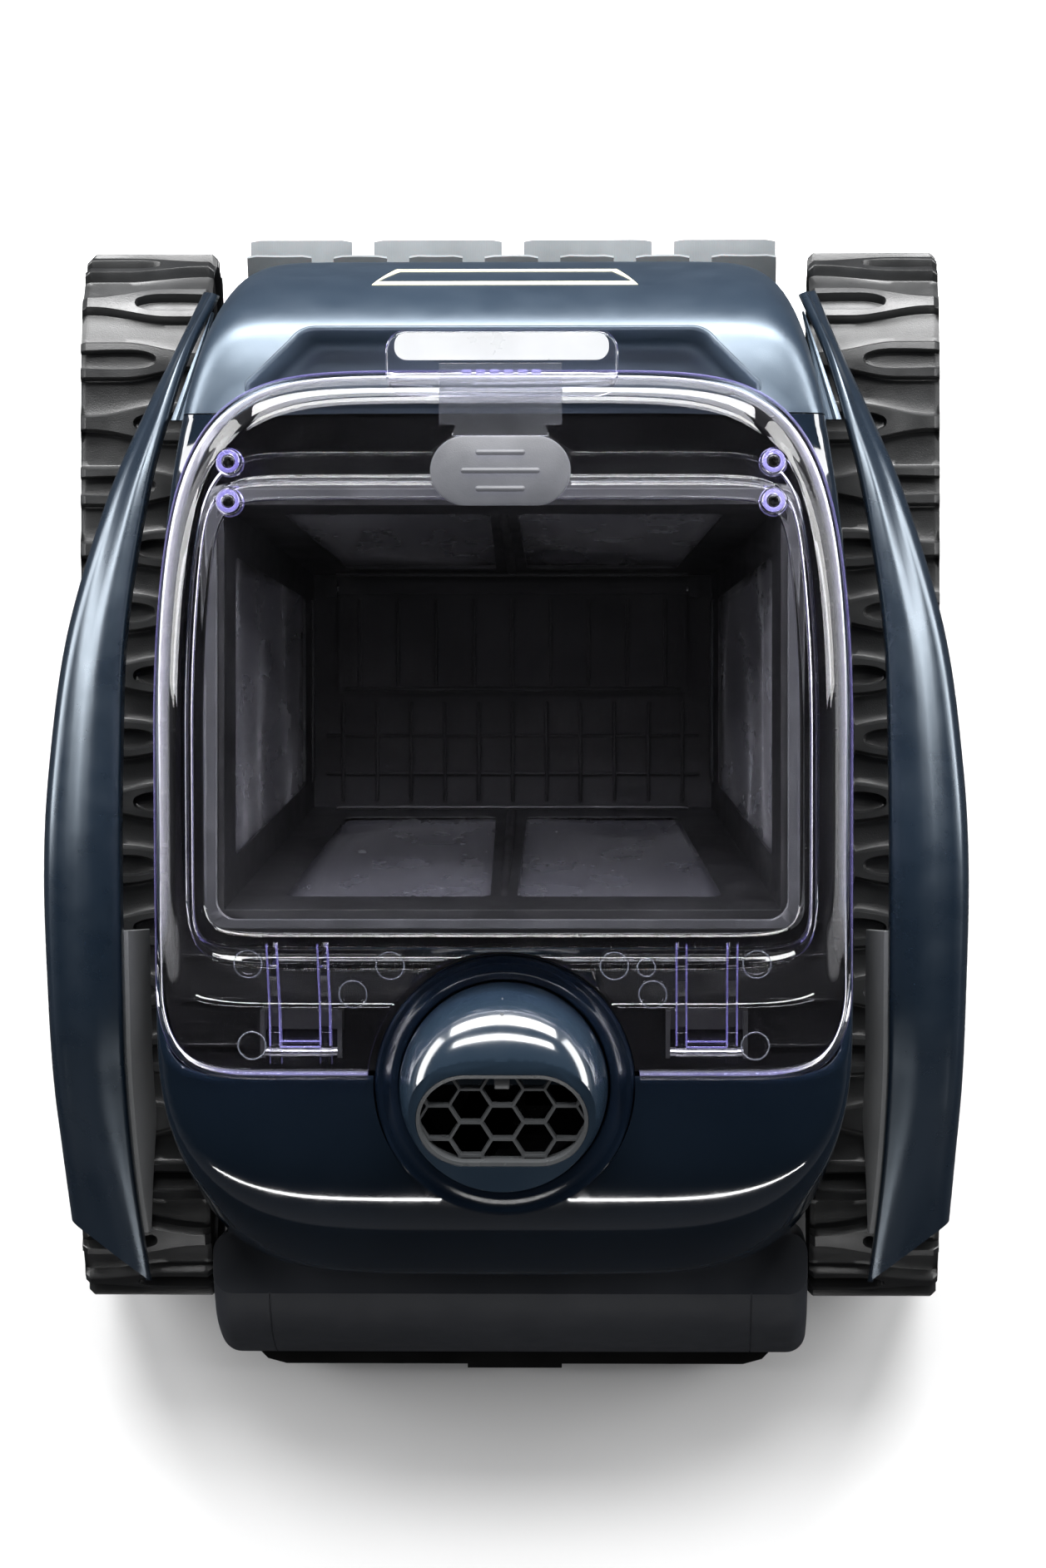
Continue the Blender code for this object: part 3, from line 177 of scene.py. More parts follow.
# Finishes that share another finish's slot; every other finish is named after its own
SLOTS = {
    "fender_satin": "hull_satin", "recess_satin_painted_light": "hull_satin", "dome_gloss": "hull_gloss",
    "seat_navy": "hull_gloss", "inner_black_painted_shade": "black_plastic", "deck_black": "black_plastic",
    "cream_print": "brush_pvc", "silver_plate": "white_plate", "dark_steel": "steel",
    "clear_film": "clear_lid", "edge_glow": "clear_lid", "mark_haze": "clear_lid",
}


class Finish:
    """A material built around one Principled shader, with short calls for its nodes."""

    def __init__(self, name, roughness=0.4, **sockets):
        self.slot = SLOTS.get(name, name)
        self.material = bpy.data.materials.new(name)
        self.material.use_nodes = True
        self.tree = self.material.node_tree
        self.shader = self.tree.nodes["Principled BSDF"]
        self.shader.inputs["Roughness"].default_value = roughness
        for socket, value in sockets.items():
            self.shader.inputs[socket.replace("_", " ").title().replace("Ior", "IOR")].default_value = value
        self.place = self.node("ShaderNodeTexCoord").outputs["Object"]

    def node(self, kind, **inputs):
        made = self.tree.nodes.new(kind)
        for name, value in inputs.items():
            made.inputs[name.replace("_", " ").title()].default_value = value
        return made

    def link(self, start, end):
        self.tree.links.new(start, end)

    def stretched(self, scale):
        mapping = self.node("ShaderNodeMapping")
        mapping.inputs["Scale"].default_value = scale
        self.link(self.place, mapping.inputs["Vector"])
        return mapping.outputs["Vector"]

    def noise(self, scale, detail, stretch=None):
        made = self.node("ShaderNodeTexNoise", scale=scale, detail=detail, roughness=0.55)
        self.link(self.stretched(stretch) if stretch else self.place, made.inputs["Vector"])
        return made.outputs["Fac"]

    def wave(self, scale, axis, distortion=0.0):
        made = self.node("ShaderNodeTexWave", scale=scale, distortion=distortion)
        made.bands_direction = axis
        self.link(self.place, made.inputs["Vector"])
        return made.outputs["Fac"]

    def spread(self, source, low, high, start=0.3, end=0.7):
        made = self.node("ShaderNodeMapRange")
        for place, value in zip(range(1, 5), (start, end, low, high)):
            made.inputs[place].default_value = value
        self.link(source, made.inputs[0])
        return made.outputs[0]

    def blend(self, source, dark, light):
        ramp = self.node("ShaderNodeValToRGB")
        for stop, position, shade in zip(ramp.color_ramp.elements, (0.3, 0.7), (dark, light)):
            stop.position = position
            stop.color = (*shade, 1)
        self.link(source, ramp.inputs["Fac"])
        return ramp.outputs["Color"]

    def highest(self, first, second):
        made = self.node("ShaderNodeMath")
        made.operation = "MAXIMUM"
        self.link(first, made.inputs[0])
        self.link(second, made.inputs[1])
        return made.outputs[0]

    def colour(self, source):
        self.link(source, self.shader.inputs["Base Color"])
        return self

    def roughness(self, source):
        self.link(source, self.shader.inputs["Roughness"])
        return self

    def mottled(self, drift, shades, patches, roughness):
        """Drifting colour and patchy roughness, each over its own noise of a scale and a detail."""
        self.colour(self.blend(self.noise(*drift), *shades))
        return self.roughness(self.spread(self.noise(*patches), *roughness))

    def bump(self, source, height, strength=1.0):
        made = self.node("ShaderNodeBump", strength=strength, distance=height)
        self.link(source, made.inputs["Height"])
        self.link(made.outputs["Normal"], self.shader.inputs["Normal"])
        return self


def moulded(name, dark, light, smooth, rough, grain=2600.0, height=0.00002, **sockets):
    """Moulded plastic: a slow drift of colour, roughness that varies, and a fine surface grain."""
    made = Finish(name, **sockets).mottled((14, 4), (dark, light), (55, 5), (smooth, rough))
    return made.bump(made.noise(grain, 2), height)


def grey(value, blue=0.0):
    """A grey, bluer by a share."""
    return (value, value * (1 + blue / 2), value * (1 + blue))


def rubber():
    """Moulded rubber: mottled, dusty in patches, with a fine pitted skin."""
    made = Finish("track_rubber", specular_ior_level=0.75)
    made.mottled((30, 4), (grey(0.006, 0.1), grey(0.013, 0.1)), (70, 5), (0.3, 0.44))
    return made.bump(made.noise(1700, 3), 0.00009)


def brushed(name, dark, light, stretch):
    """Metal with fine lines along one axis."""
    made = Finish(name, metallic=1.0)
    lines = made.noise(60, 5, stretch)
    made.colour(made.blend(lines, dark, light)).roughness(made.spread(lines, 0.18, 0.34))
    return made.bump(lines, 0.00002)


def woven_mesh():
    """Fine dark filter cloth: crossing threads, with a soft uneven sheen."""
    made = Finish("filter_mesh", specular_ior_level=1.0, sheen_weight=0.15, sheen_roughness=0.4)
    weave = made.highest(made.wave(230, "X"), made.wave(230, "Z"))
    made.mottled((22, 4), ((0.015, 0.015, 0.017), (0.021, 0.021, 0.024)), (40, 4), (0.24, 0.29))
    return made.bump(weave, 0.00002, 0.07)


def brush_pvc():
    """Pale flexible PVC with the fine parallel marks of its mould."""
    made = Finish("brush_pvc", subsurface_weight=0.08, subsurface_scale=0.004)
    made.mottled((30, 5), ((0.125, 0.138, 0.146), (0.175, 0.19, 0.2)), (70, 4), (0.4, 0.58))
    return made.bump(made.wave(420, "X", 2.5), 0.00005, 0.5)


def let_lamps_through(made, surface):
    """Lets shadow rays pass a clear shader, so that lamps light what lies behind it."""
    clear = made.node("ShaderNodeBsdfTransparent")
    clear.inputs["Color"].default_value = (0.92, 0.92, 0.97, 1)
    mix = made.node("ShaderNodeMixShader")
    made.link(made.node("ShaderNodeLightPath").outputs["Is Shadow Ray"], mix.inputs["Fac"])
    made.link(surface, mix.inputs[1])
    made.link(clear.outputs["BSDF"], mix.inputs[2])
    made.link(mix.outputs["Shader"], made.tree.nodes["Material Output"].inputs["Surface"])
    return made


VIOLET = ((0.15, 0.13, 0.38), (0.27, 0.25, 0.54))


def clear_acrylic(name, edge_share=0.55, haze=0.0, smooth=0.0, rough=0.03, tint=VIOLET):
    """Clear acrylic whose steep edges glow, with faint haze and moulding waves."""
    made = Finish(name, transmission_weight=1.0, ior=1.47)
    made.shader.inputs["Base Color"].default_value = (0.95, 0.95, 1.0, 1)
    made.roughness(made.spread(made.noise(60, 4), smooth, rough))
    made.bump(made.noise(26, 3), 0.0001, 0.3)
    facing = made.node("ShaderNodeLayerWeight", blend=0.35).outputs["Facing"]
    share = made.spread(facing, haze, edge_share, 0.55, 1.0)
    glow = made.node("ShaderNodeBsdfDiffuse")
    made.link(made.blend(made.noise(18, 3), *tint), glow.inputs["Color"])
    mix = made.node("ShaderNodeMixShader")
    made.link(share, mix.inputs["Fac"])
    made.link(made.shader.outputs["BSDF"], mix.inputs[1])
    made.link(glow.outputs["BSDF"], mix.inputs[2])
    return let_lamps_through(made, mix.outputs["Shader"])


def frosted():
    """Grey plastic that lets a little light through, with a pebbled skin."""
    made = Finish("frosted_pad", transmission_weight=0.35, ior=1.45)
    made.mottled((35, 4), ((0.085, 0.088, 0.097), (0.125, 0.128, 0.14)), (80, 4), (0.36, 0.55))
    made.bump(made.noise(1800, 2), 0.00006)
    return let_lamps_through(made, made.shader.outputs["BSDF"])


HULL_GLOSS = moulded("hull_gloss", (0.0035, 0.0068, 0.0118), (0.0055, 0.0098, 0.0165), 0.05, 0.1,
                     grain=420, height=0.000008, coat_weight=0.5, coat_roughness=0.03, specular_ior_level=0.7)
HULL_SATIN = moulded("hull_satin", (0.0075, 0.015, 0.0265), (0.0105, 0.02, 0.034), 0.33, 0.41, ior=1.65,
                     specular_ior_level=1.0, specular_tint=(0.74, 0.87, 1.0, 1.0), height=0.00003)
FENDER_SATIN = moulded("fender_satin", (0.004, 0.0085, 0.0155), (0.006, 0.0115, 0.02), 0.25, 0.33, ior=1.6,
                       specular_ior_level=0.9, specular_tint=(0.78, 0.89, 1.0, 1.0), height=0.000012)
# The hood's satin made lighter for the recess cup: painted light, making up for the shade that falls in the
# recess
RECESS_SATIN_PAINTED_LIGHT = moulded("recess_satin_painted_light", (0.026, 0.039, 0.056), (0.033, 0.048, 0.067), 0.34, 0.42, ior=1.6,
                       specular_ior_level=1.0, specular_tint=(0.8, 0.9, 1.0, 1.0), height=0.00003)
DOME_GLOSS = moulded("dome_gloss", (0.009, 0.0165, 0.0265), (0.013, 0.022, 0.034), 0.1, 0.17, grain=420,
                     height=0.000006, coat_weight=0.5, coat_roughness=0.05, specular_ior_level=0.8)
CHASSIS = moulded("chassis_matte", (0.0215, 0.024, 0.03), (0.029, 0.032, 0.039), 0.36, 0.48,
                  grain=1500, height=0.00007)
BLACK = moulded("black_plastic", grey(0.003), grey(0.007), 0.28, 0.42, grain=1700, height=0.00006)
# A darker, duller copy of the black plastic for the parts deep inside the basket and the ducts: painted shade
# where the lid and hull shade them
INNER_BLACK_PAINTED_SHADE = moulded("inner_black_painted_shade", grey(0.0015), grey(0.0035), 0.38, 0.52, grain=1700, height=0.00006,
                      specular_ior_level=0.25)
DECK_BLACK = moulded("deck_black", grey(0.002), grey(0.005), 0.12, 0.22, grain=900, height=0.00003)
GREY = moulded("grey_plastic", grey(0.22, 0.04), grey(0.31, 0.04), 0.38, 0.52, grain=1500, height=0.00008)
GRILLE_GREY = moulded("grille_grey", grey(0.045, 0.1), grey(0.07, 0.1), 0.22, 0.32, height=0.00003)
SEAT_NAVY = moulded("seat_navy", (0.003, 0.006, 0.0115), (0.005, 0.009, 0.0165), 0.1, 0.18, height=0.00002)
CREAM = moulded("cream_print", (0.52, 0.49, 0.34), (0.6, 0.57, 0.41), 0.42, 0.55)
CELL_WRAP = moulded("cell_wrap", (0.012, 0.055, 0.12), (0.025, 0.085, 0.16), 0.25, 0.4, grain=500,
                    height=0.00015)
PLATE = moulded("silver_plate", grey(0.42, 0.04), grey(0.5, 0.04), 0.26, 0.36, metallic=0.3)
RUBBER = rubber()
PVC = brush_pvc()
MESH = woven_mesh()
STEEL = brushed("steel", grey(0.42), grey(0.62), (1, 12, 12))
DARK_STEEL = brushed("dark_steel", grey(0.05), grey(0.11), (8, 8, 1))
CLEAR = clear_acrylic("clear_lid")
CLEAR_FILM = clear_acrylic("clear_film", 0.45, 0.085, 0.04, 0.1, (grey(0.1, 0.1), grey(0.16, 0.1)))
EDGE_GLOW = clear_acrylic("edge_glow", 0.8, 0.36, 0.02, 0.06)
MARK_HAZE = clear_acrylic("mark_haze", 0.5, 0.22, 0.02, 0.06, (grey(0.16, 0.15), grey(0.24, 0.15)))
FROSTED = frosted()


# ---------------------------------------------------------------- mesh helpers


def linked(name, bm):
    """A bmesh as an object in the scene."""
    bmesh.ops.recalc_face_normals(bm, faces=bm.faces)
    mesh = bpy.data.meshes.new(name)
    bm.to_mesh(mesh)
    bm.free()
    obj = bpy.data.objects.new(name, mesh)
    bpy.context.scene.collection.objects.link(obj)
    return obj


def piece(name, bm, finish, stands_for=(), body="root", smooth=38.0):
    """A visible piece, which rides on a body, takes its finish's material and may stand for CAD nodes."""
    obj = linked(name, bm)
    obj.data.shade_smooth()
    obj.data.set_sharp_from_angle(angle=radians(smooth))
    obj.data.materials.append(finish.material)
    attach(obj, body)
    if stands_for:
        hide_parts(*stands_for)
    return obj


def settle(obj):
    """Applies an object's modifiers to its mesh."""
    graph = bpy.context.evaluated_depsgraph_get()
    mesh = bpy.data.meshes.new_from_object(obj.evaluated_get(graph))
    obj.modifiers.clear()
    obj.data = mesh
    return obj


def carve(obj, bm, operation="DIFFERENCE", smooth=38.0):
    """Cuts a shape from an object, or joins it on."""
    tool = linked("tool", bm)
    modifier = obj.modifiers.new("carve", "BOOLEAN")
    modifier.operation = operation
    modifier.object = tool
    settle(obj)
    bpy.data.objects.remove(tool, do_unlink=True)
    obj.data.set_sharp_from_angle(angle=radians(smooth))
    return obj


def soften(obj, width, segments=2, angle=40.0):
    """Rounds an object's sharp edges."""
    modifier = obj.modifiers.new("soften", "BEVEL")
    modifier.width = width
    modifier.segments = segments
    modifier.limit_method = "ANGLE"
    modifier.angle_limit = radians(angle)
    modifier.harden_normals = True
    return settle(obj)


def thicken(obj, amount, offset=-1.0):
    """Gives a surface a wall."""
    modifier = obj.modifiers.new("wall", "SOLIDIFY")
    modifier.thickness = amount
    modifier.offset = offset
    return settle(obj)


def lofted(rings, closed=False, cap_first=False, cap_last=False, open_rows=False):
    """Quads between rings, or between open rows; closed also joins the last ring to the first."""
    bm = bmesh.new()
    made = [[bm.verts.new(point) for point in ring] for ring in rings]
    pairs = list(zip(made, made[1:])) + ([(made[-1], made[0])] if closed else [])
    for near, far in pairs:
        for i in range(len(near) - open_rows):
            after = (i + 1) % len(near)
            bm.faces.new((near[i], near[after], far[after], far[i]))
    if cap_first:
        bm.faces.new(list(reversed(made[0])))
    if cap_last:
        bm.faces.new(made[-1])
    return bm


def capped(rings):
    """Rings lofted into a closed body with flat ends."""
    return lofted(rings, cap_first=True, cap_last=True)


def moved(bm, matrix):
    """A bmesh moved by a matrix."""
    bmesh.ops.transform(bm, matrix=matrix, verts=bm.verts)
    return bm


def merged(*parts):
    """Several bmeshes as one, without joining their surfaces."""
    target = bmesh.new()
    for part in parts:
        mesh = bpy.data.meshes.new("part")
        part.to_mesh(mesh)
        part.free()
        target.from_mesh(mesh)
        bpy.data.meshes.remove(mesh)
    return target


def rounded_block(low, high, edge=0.0, segments=2):
    """A box between two corners, its edges rounded where an edge is given."""
    bm = bmesh.new()
    bmesh.ops.create_cube(bm, size=1.0)
    bmesh.ops.scale(bm, vec=Vector(high) - Vector(low), verts=bm.verts)
    bmesh.ops.translate(bm, vec=(Vector(high) + Vector(low)) / 2, verts=bm.verts)
    if edge:
        bmesh.ops.bevel(bm, geom=bm.edges, offset=edge, segments=segments, profile=0.5, affect="EDGES")
    return bm


def mirrored_block(side, near, far, low_yz, high_yz, edge=0.0):
    """A block between two distances from the middle plane, on one side of the machine."""
    low_x, high_x = sorted((side * near, side * far))
    return rounded_block((low_x, *low_yz), (high_x, *high_yz), edge)


def placed_on(axis, centre):
    """The matrix that lays the Z axis along an axis through a centre."""
    turn = Vector((0, 0, 1)).rotation_difference(Vector(axis)).to_matrix().to_4x4()
    return Matrix.Translation(centre) @ turn


def spun(profile, centre, axis, steps):
    """Rings of a profile of (radius, height) points turned about an axis."""
    place = placed_on(axis, centre)
    angles = [2 * pi * i / steps for i in range(steps)]
    return [[place @ Vector((r * cos(a), r * sin(a), h)) for a in angles] for r, h in profile]


def turned(profile, centre, axis=(0, 0, 1), steps=72):
    """A closed profile turned into a ring-shaped body."""
    return lofted(spun(profile, centre, axis, steps), closed=True)


def rod(radius, length, centre, axis=(0, 0, 1), steps=32, edge=0.0):
    """A cylinder, with rounded ends where an edge is given."""
    half = length / 2
    rounds = [(radius, half)]
    if edge:
        turns = (pi / 2 * k / 3 for k in range(4))
        rounds = [(radius - edge * (1 - sin(t)), half - edge * (1 - cos(t))) for t in turns]
    return capped(spun(rounds + [(r, -h) for r, h in reversed(rounds)], centre, axis, steps))


def prism(outline, low, high, to_world=lambda u, v, w: (u, v, w), edge=0.0):
    """An outline extruded between two heights, with its rims chamfered where an edge is given."""
    levels = ((outline, low), (outline, high))
    if edge:
        centre = Vector((sum(u for u, _ in outline), sum(v for _, v in outline))) / len(outline)
        shrunk = [tuple(Vector(p) - (Vector(p) - centre).normalized() * edge) for p in outline]
        levels = ((shrunk, low), (outline, low + edge), (outline, high - edge), (shrunk, high))
    return capped([[to_world(u, v, w) for u, v in ring] for ring, w in levels])


def at_height(ring, height):
    """A plan outline lifted to a height."""
    return [(x, y, height) for x, y in ring]


def arc(centre, radius, start, end, steps):
    """Points along an arc, its angles given in degrees."""
    points = []
    for i in range(steps + 1):
        angle = radians(start + (end - start) * i / steps)
        points.append((centre[0] + radius * cos(angle), centre[1] + radius * sin(angle)))
    return points


def rounded_rectangle(left, right, bottom, top, radius, steps=8):
    """A rectangle with rounded corners."""
    return (
        arc((right - radius, bottom + radius), radius, -90, 0, steps)
        + arc((right - radius, top - radius), radius, 0, 90, steps)
        + arc((left + radius, top - radius), radius, 90, 180, steps)
        + arc((left + radius, bottom + radius), radius, 180, 270, steps)
    )


def grown(box, grow, corner, along=None):
    """A rectangle (left, right, rear, front) grown sideways and along, with rounded corners."""
    left, right, rear, front = box
    along = grow if along is None else along
    return rounded_rectangle(left - grow, right + grow, rear - along, front + along, corner)


def hexagon(u, v, radius):
    """The corners of a hexagon."""
    angles = (pi / 3 * k for k in range(6))
    return [(u + radius * cos(a), v + radius * sin(a)) for a in angles]


def stadium(half_width, half_height, steps=24):
    """A long outline with half-round ends."""
    straight = half_width - half_height
    return arc((straight, 0), half_height, -90, 90, steps) + arc((-straight, 0), half_height, 90, 270, steps)


def smoothstep(low, high, value):
    """0 below low, 1 above high, and an even ease between them."""
    t = min(1.0, max(0.0, (value - low) / (high - low)))
    return t * t * (3 - 2 * t)


def spline(rows, steps):
    """Rows of numbers resampled along a smooth curve through all of them."""
    last = len(rows) - 1
    made = []
    for i in range(steps + 1):
        place = last * i / steps
        k = min(int(place), last - 1)
        t = place - k
        near = zip(rows[max(k - 1, 0)], rows[k], rows[k + 1], rows[min(k + 2, last)])
        made.append(tuple(
            0.5 * (2 * q + (r - p) * t + (2 * p - 5 * q + 4 * r - s) * t**2 + (3 * q - p - 3 * r + s) * t**3)
            for p, q, r, s in near))
    return made


# ---------------------------------------------------------------- hull


def outline(front, rear, half, front_power, rear_power, rear_taper=0.0, count=AROUND):
    """A plan outline with bowed ends, straight-ish sides and a narrowing front."""
    points = []
    for i in range(count):
        angle = 2 * pi * i / count
        across, along = cos(angle), sin(angle)
        ahead = along > 0
        power = front_power if ahead else rear_power
        reach = front - MIDDLE_Y if ahead else MIDDLE_Y - rear
        radius = (abs(across / half) ** power + abs(along / reach) ** power) ** (-1 / power)
        y = MIDDLE_Y + radius * along
        narrowing = TAPER * max(0.0, y - TAPER_FROM_Y) ** 2
        narrowing += rear_taper * max(0.0, REAR_TAPER_FROM_Y - y) ** 2
        points.append((radius * across * (1 - narrowing / half), y))
    return points


def hull_ring(level, inset=0.0, drop=0.0):
    """One level of the hull as a ring, drawn inwards and lowered where asked."""
    height, slope, front, rear, half, front_power, rear_power = level
    ring = outline(front - inset, rear + inset, half - inset, front_power, rear_power)
    return [(x, y, height - drop + slope * y) for x, y in ring]


def hull_skin():
    """The upper hull: up the outside, over a rounded rim, and down the inside."""
    foot = HULL_LEVELS[0]
    rings = [hull_ring(foot, HULL_WALL / 2, 0.0006), hull_ring(foot, 0.0004, 0.0004)]
    rings += [hull_ring(level) for level in spline(HULL_LEVELS, 30)]
    rounded_rim = ((0.0003, 0.0002), (0.0009, 0.0), (0.0028, 0.0), (0.0034, 0.0006), (0.0036, 0.003))
    rings += [hull_ring(RIM, inset, drop) for inset, drop in rounded_rim]
    rings += [hull_ring(level, HULL_WALL, 0.0016) for level in reversed(spline(HULL_LEVELS[:5], 8))]
    return lofted(rings, closed=True)


def recess_outline(grow=0.0):
    """The finger recess in front of the lid: a shallow trapezoid with rounded front corners."""
    front, rear, corner = 0.215 + grow, 0.186, 0.012
    right = arc((0.085 + grow, front - corner), corner, 90, 32, 8)
    right += [(0.1145 + grow, 0.19), (0.115 + grow, rear)]
    return [(-x, y) for x, y in reversed(right)] + right


def make_hull():
    """The satin hood with its finger recess, the glossy rear hull, and the recess's cup."""
    hood = piece("hood_shell", hull_skin(), HULL_SATIN, ["front_hood"])
    carve(hood, rounded_block((-FAR, -FAR, 0), (FAR, HOOD_SPLIT_Y + GAP, FAR)))
    carve(hood, prism(recess_outline(), 0.188, 0.26))
    soften(hood, 0.0009, 3, 50)

    shell = piece("rear_shell", hull_skin(), HULL_GLOSS, ["rear_hull"])
    carve(shell, rounded_block((-FAR, HOOD_SPLIT_Y - GAP, 0), (FAR, FAR, FAR)))
    carve(shell, rod(SEAT_RADII[1] + GAP, 0.1, (0, NOZZLE_Y, 0.22), steps=120))
    soften(shell, 0.0007, 2, 50)

    floor_z = 0.1965
    insert = lofted(
        [
            [(x * 0.999, y, hull_top(y) - 0.0004) for x, y in recess_outline(-0.0004)],
            [(x * 0.99, y - 0.001, hull_top(y) - 0.002) for x, y in recess_outline(-0.0008)],
            [(x * 0.975, y - 0.003, floor_z + 0.004) for x, y in recess_outline(-0.0016)],
            [(x * 0.955, y - 0.005, floor_z + 0.0006) for x, y in recess_outline(-0.0026)],
            [(x * 0.93, y - 0.007, floor_z) for x, y in recess_outline(-0.004)],
        ],
        cap_last=True,
    )
    # The cup takes the lighter copy of the hood's satin: painted light in the recess
    cup = piece("recess_cup", insert, RECESS_SATIN_PAINTED_LIGHT, ["recess_insert"], smooth=60)
    thicken(cup, 0.0012)


def hull_top(y):
    """Height of the hood's surface on the middle line, near the recess."""
    ahead = smoothstep(0.195, 0.22, y)
    return RIM[0] + RIM[1] * y - 0.0085 * ahead


def make_hood_band():
    """A plain pale outline printed on the hood's front edge."""
    levels = spline(HULL_LEVELS, 60)
    rows = [level for level in levels if 0.155 < level[0] + level[1] * 0.24 < 0.196]

    def on_hood(across, share):
        place = share * (len(rows) - 1)
        k = min(int(place), len(rows) - 2)
        level = tuple(a + (b - a) * (place - k) for a, b in zip(rows[k], rows[k + 1]))
        height, slope, front, _, half, power, _ = level
        reach = front - MIDDLE_Y
        y = MIDDLE_Y + reach * (1 - abs(across / half) ** power) ** (1 / power)
        return Vector((across, y, height + slope * y))

    def lifted(across, share, lift):
        side = on_hood(across + 0.0005, share) - on_hood(across - 0.0005, share)
        rise = on_hood(across, share + 0.01) - on_hood(across, share - 0.01)
        return on_hood(across, share) + side.cross(rise).normalized() * lift

    outer, inner = [], []
    corners = [(-0.05, 0.14), (0.05, 0.14), (0.06, 0.86), (-0.06, 0.86)]
    for (x0, v0), (x1, v1) in zip(corners, corners[1:] + corners[:1]):
        for k in range(24):
            t = k / 24
            x, v = x0 + (x1 - x0) * t, v0 + (v1 - v0) * t
            outer.append((x, v))
            inner.append((x * 0.962, 0.5 + (v - 0.5) * 0.66))
    rings = [
        [lifted(x, v, -0.0003) for x, v in outer],
        [lifted(x, v, 0.00018) for x, v in outer],
        [lifted(x, v, 0.00018) for x, v in inner],
        [lifted(x, v, -0.0003) for x, v in inner],
    ]
    piece("hood_outline", lofted(rings, closed=True), CREAM)


def make_deck():
    """The tray under the lid, with low frames round its basket hole and short ribs at its sides."""
    inset, clearance, corner = 0.005, 0.0012, 0.01
    ring = outline(RIM[2] - inset, RIM[3] + inset, RIM[4] - inset, 6, 16)
    deck = piece("deck_plate", prism(ring, DECK_Z - 0.0022, DECK_Z, edge=0.0005), DECK_BLACK, ["deck_tray"])
    carve(deck, prism(grown(BASKET_TOP, clearance, corner), 0.17, 0.2))
    carve(deck, rod(SEAT_RADII[1] + GAP, 0.04, (0, NOZZLE_Y, DECK_Z), steps=96))
    ribs = []
    for grow, top in ((0.0022, 0.0045), (0.009, 0.0022)):
        near, far = (grown(BASKET_TOP, g, corner + g / 2) for g in (grow, grow + 0.0016))
        levels = ((near, 0.0), (near, top), (far, top), (far, 0.0))
        ribs.append(lofted([at_height(ring, DECK_Z - 0.0004 + h) for ring, h in levels], closed=True))
    for side in (-1, 1):
        for y in (-0.066, -0.086, -0.106):
            low, high = (y - 0.0008, DECK_Z - 0.0004), (y + 0.0008, 0.1905)
            ribs.append(mirrored_block(side, 0.118, 0.146, low, high, 0.0003))
    piece("deck_ribs", merged(*ribs), DECK_BLACK)


# ---------------------------------------------------------------- fenders


def fender_section(side, station):
    """Points across the fender: its inner wall, a rounded inner edge, the crown and the outer skirt."""
    inner_y, inner_x, outer_y, outer_x, crown, inner_wall = station
    reach = outer_x - inner_x
    shoulder = min(0.0045, reach * 0.35)
    points = [
        (0.0005, -inner_wall), (0.0006, -inner_wall * 0.55), (0.0008, -0.0034), (0.0011, -0.0019),
        (0.0018, -0.0008), (0.003, -0.0002),
    ]
    for share in (0.22, 0.36, 0.5, 0.64, 0.78, 0.9):
        drop = 0.007 * smoothstep(0.3, 1.0, share)
        points.append((0.003 + (reach - shoulder - 0.003) * (share - 0.1) / 0.9, -drop))
    points += [
        (reach - shoulder, -0.0072), (reach - shoulder * 0.55, -0.0094), (reach - shoulder * 0.3, -0.0122),
        (reach - shoulder * 0.12, -0.0165), (reach - 0.0002, -0.0215), (reach, -0.026),
    ]
    slant = (outer_y - inner_y) / reach
    return [(side * (inner_x + dx), inner_y + slant * dx, crown + dz) for dx, dz in points]


def make_fender(label, side):
    """The satin fender, a curved shell beside the hull."""
    rows = [fender_section(side, station) for station in spline(FENDER_STATIONS, 110)]
    if side < 0:
        rows = [list(reversed(row)) for row in rows]
    fender = piece(f"{label}_fender_shell", lofted(rows, open_rows=True), FENDER_SATIN, [f"{label}_fender"],
                   smooth=60)
    up = sum(face.normal.z * face.area for face in fender.data.polygons)
    thicken(fender, 0.0021, -1.0 if up > 0 else 1.0)
    soften(fender, 0.0006, 2, 60)


def make_flank(label, side):
    """The stiffening panel inside the fender: a stepped wall with a rib along its top."""
    rings = []
    for inner_y, inner_x, _, _, crown, inner_wall in spline(FENDER_STATIONS, 110):
        if not -0.198 < inner_y < -0.05:
            continue
        top = crown - inner_wall - 0.001
        foot = max(0.1165, top - 0.03)
        step = 0.0045 * smoothstep(-0.1185, -0.1195, -inner_y) if inner_y < -0.119 else 0.0
        lean = 0.3 * (top - foot)
        section = ((0.0022, top), (-0.0016, top), (-0.002 - step * 0.3, top - 0.0012),
                   (-0.0016 - lean * 0.3, top - 0.005), (-lean, foot), (0.0022 - lean, foot))
        rings.append([(side * (inner_x + 0.0002 + x), inner_y, z) for x, z in section])
    soften(piece(f"{label}_flank_panel", capped(rings), GREY, [f"{label}_fender_strut"]), 0.0004, 2)


WEDGE_SECTION = (
    (-1.0, -6.0), (-1.0, 0.0), (-0.55, -1.6), (-0.1, -1.2), (0.1, 0.2), (0.35, -1.2), (1.0, -1.4),
    (1.0, -6.0),
)


def make_corner_insert(label, side):
    """The narrow recessed wedge between the hood and the fender."""
    rows = []
    steps = 28
    for k in range(steps + 1):
        t = k / steps
        y, middle, top = 0.227 - 0.051 * t, 0.1352 + 0.0133 * t, 0.148 + 0.027 * t
        half = 0.0004 + 0.0032 * t**0.9
        rows.append([(side * (middle + half * u), y, top + 0.0016 * v) for u, v in WEDGE_SECTION])
    soften(piece(f"{label}_corner_insert", capped(rows), HULL_SATIN), 0.0004, 2)


# ---------------------------------------------------------------- running gear


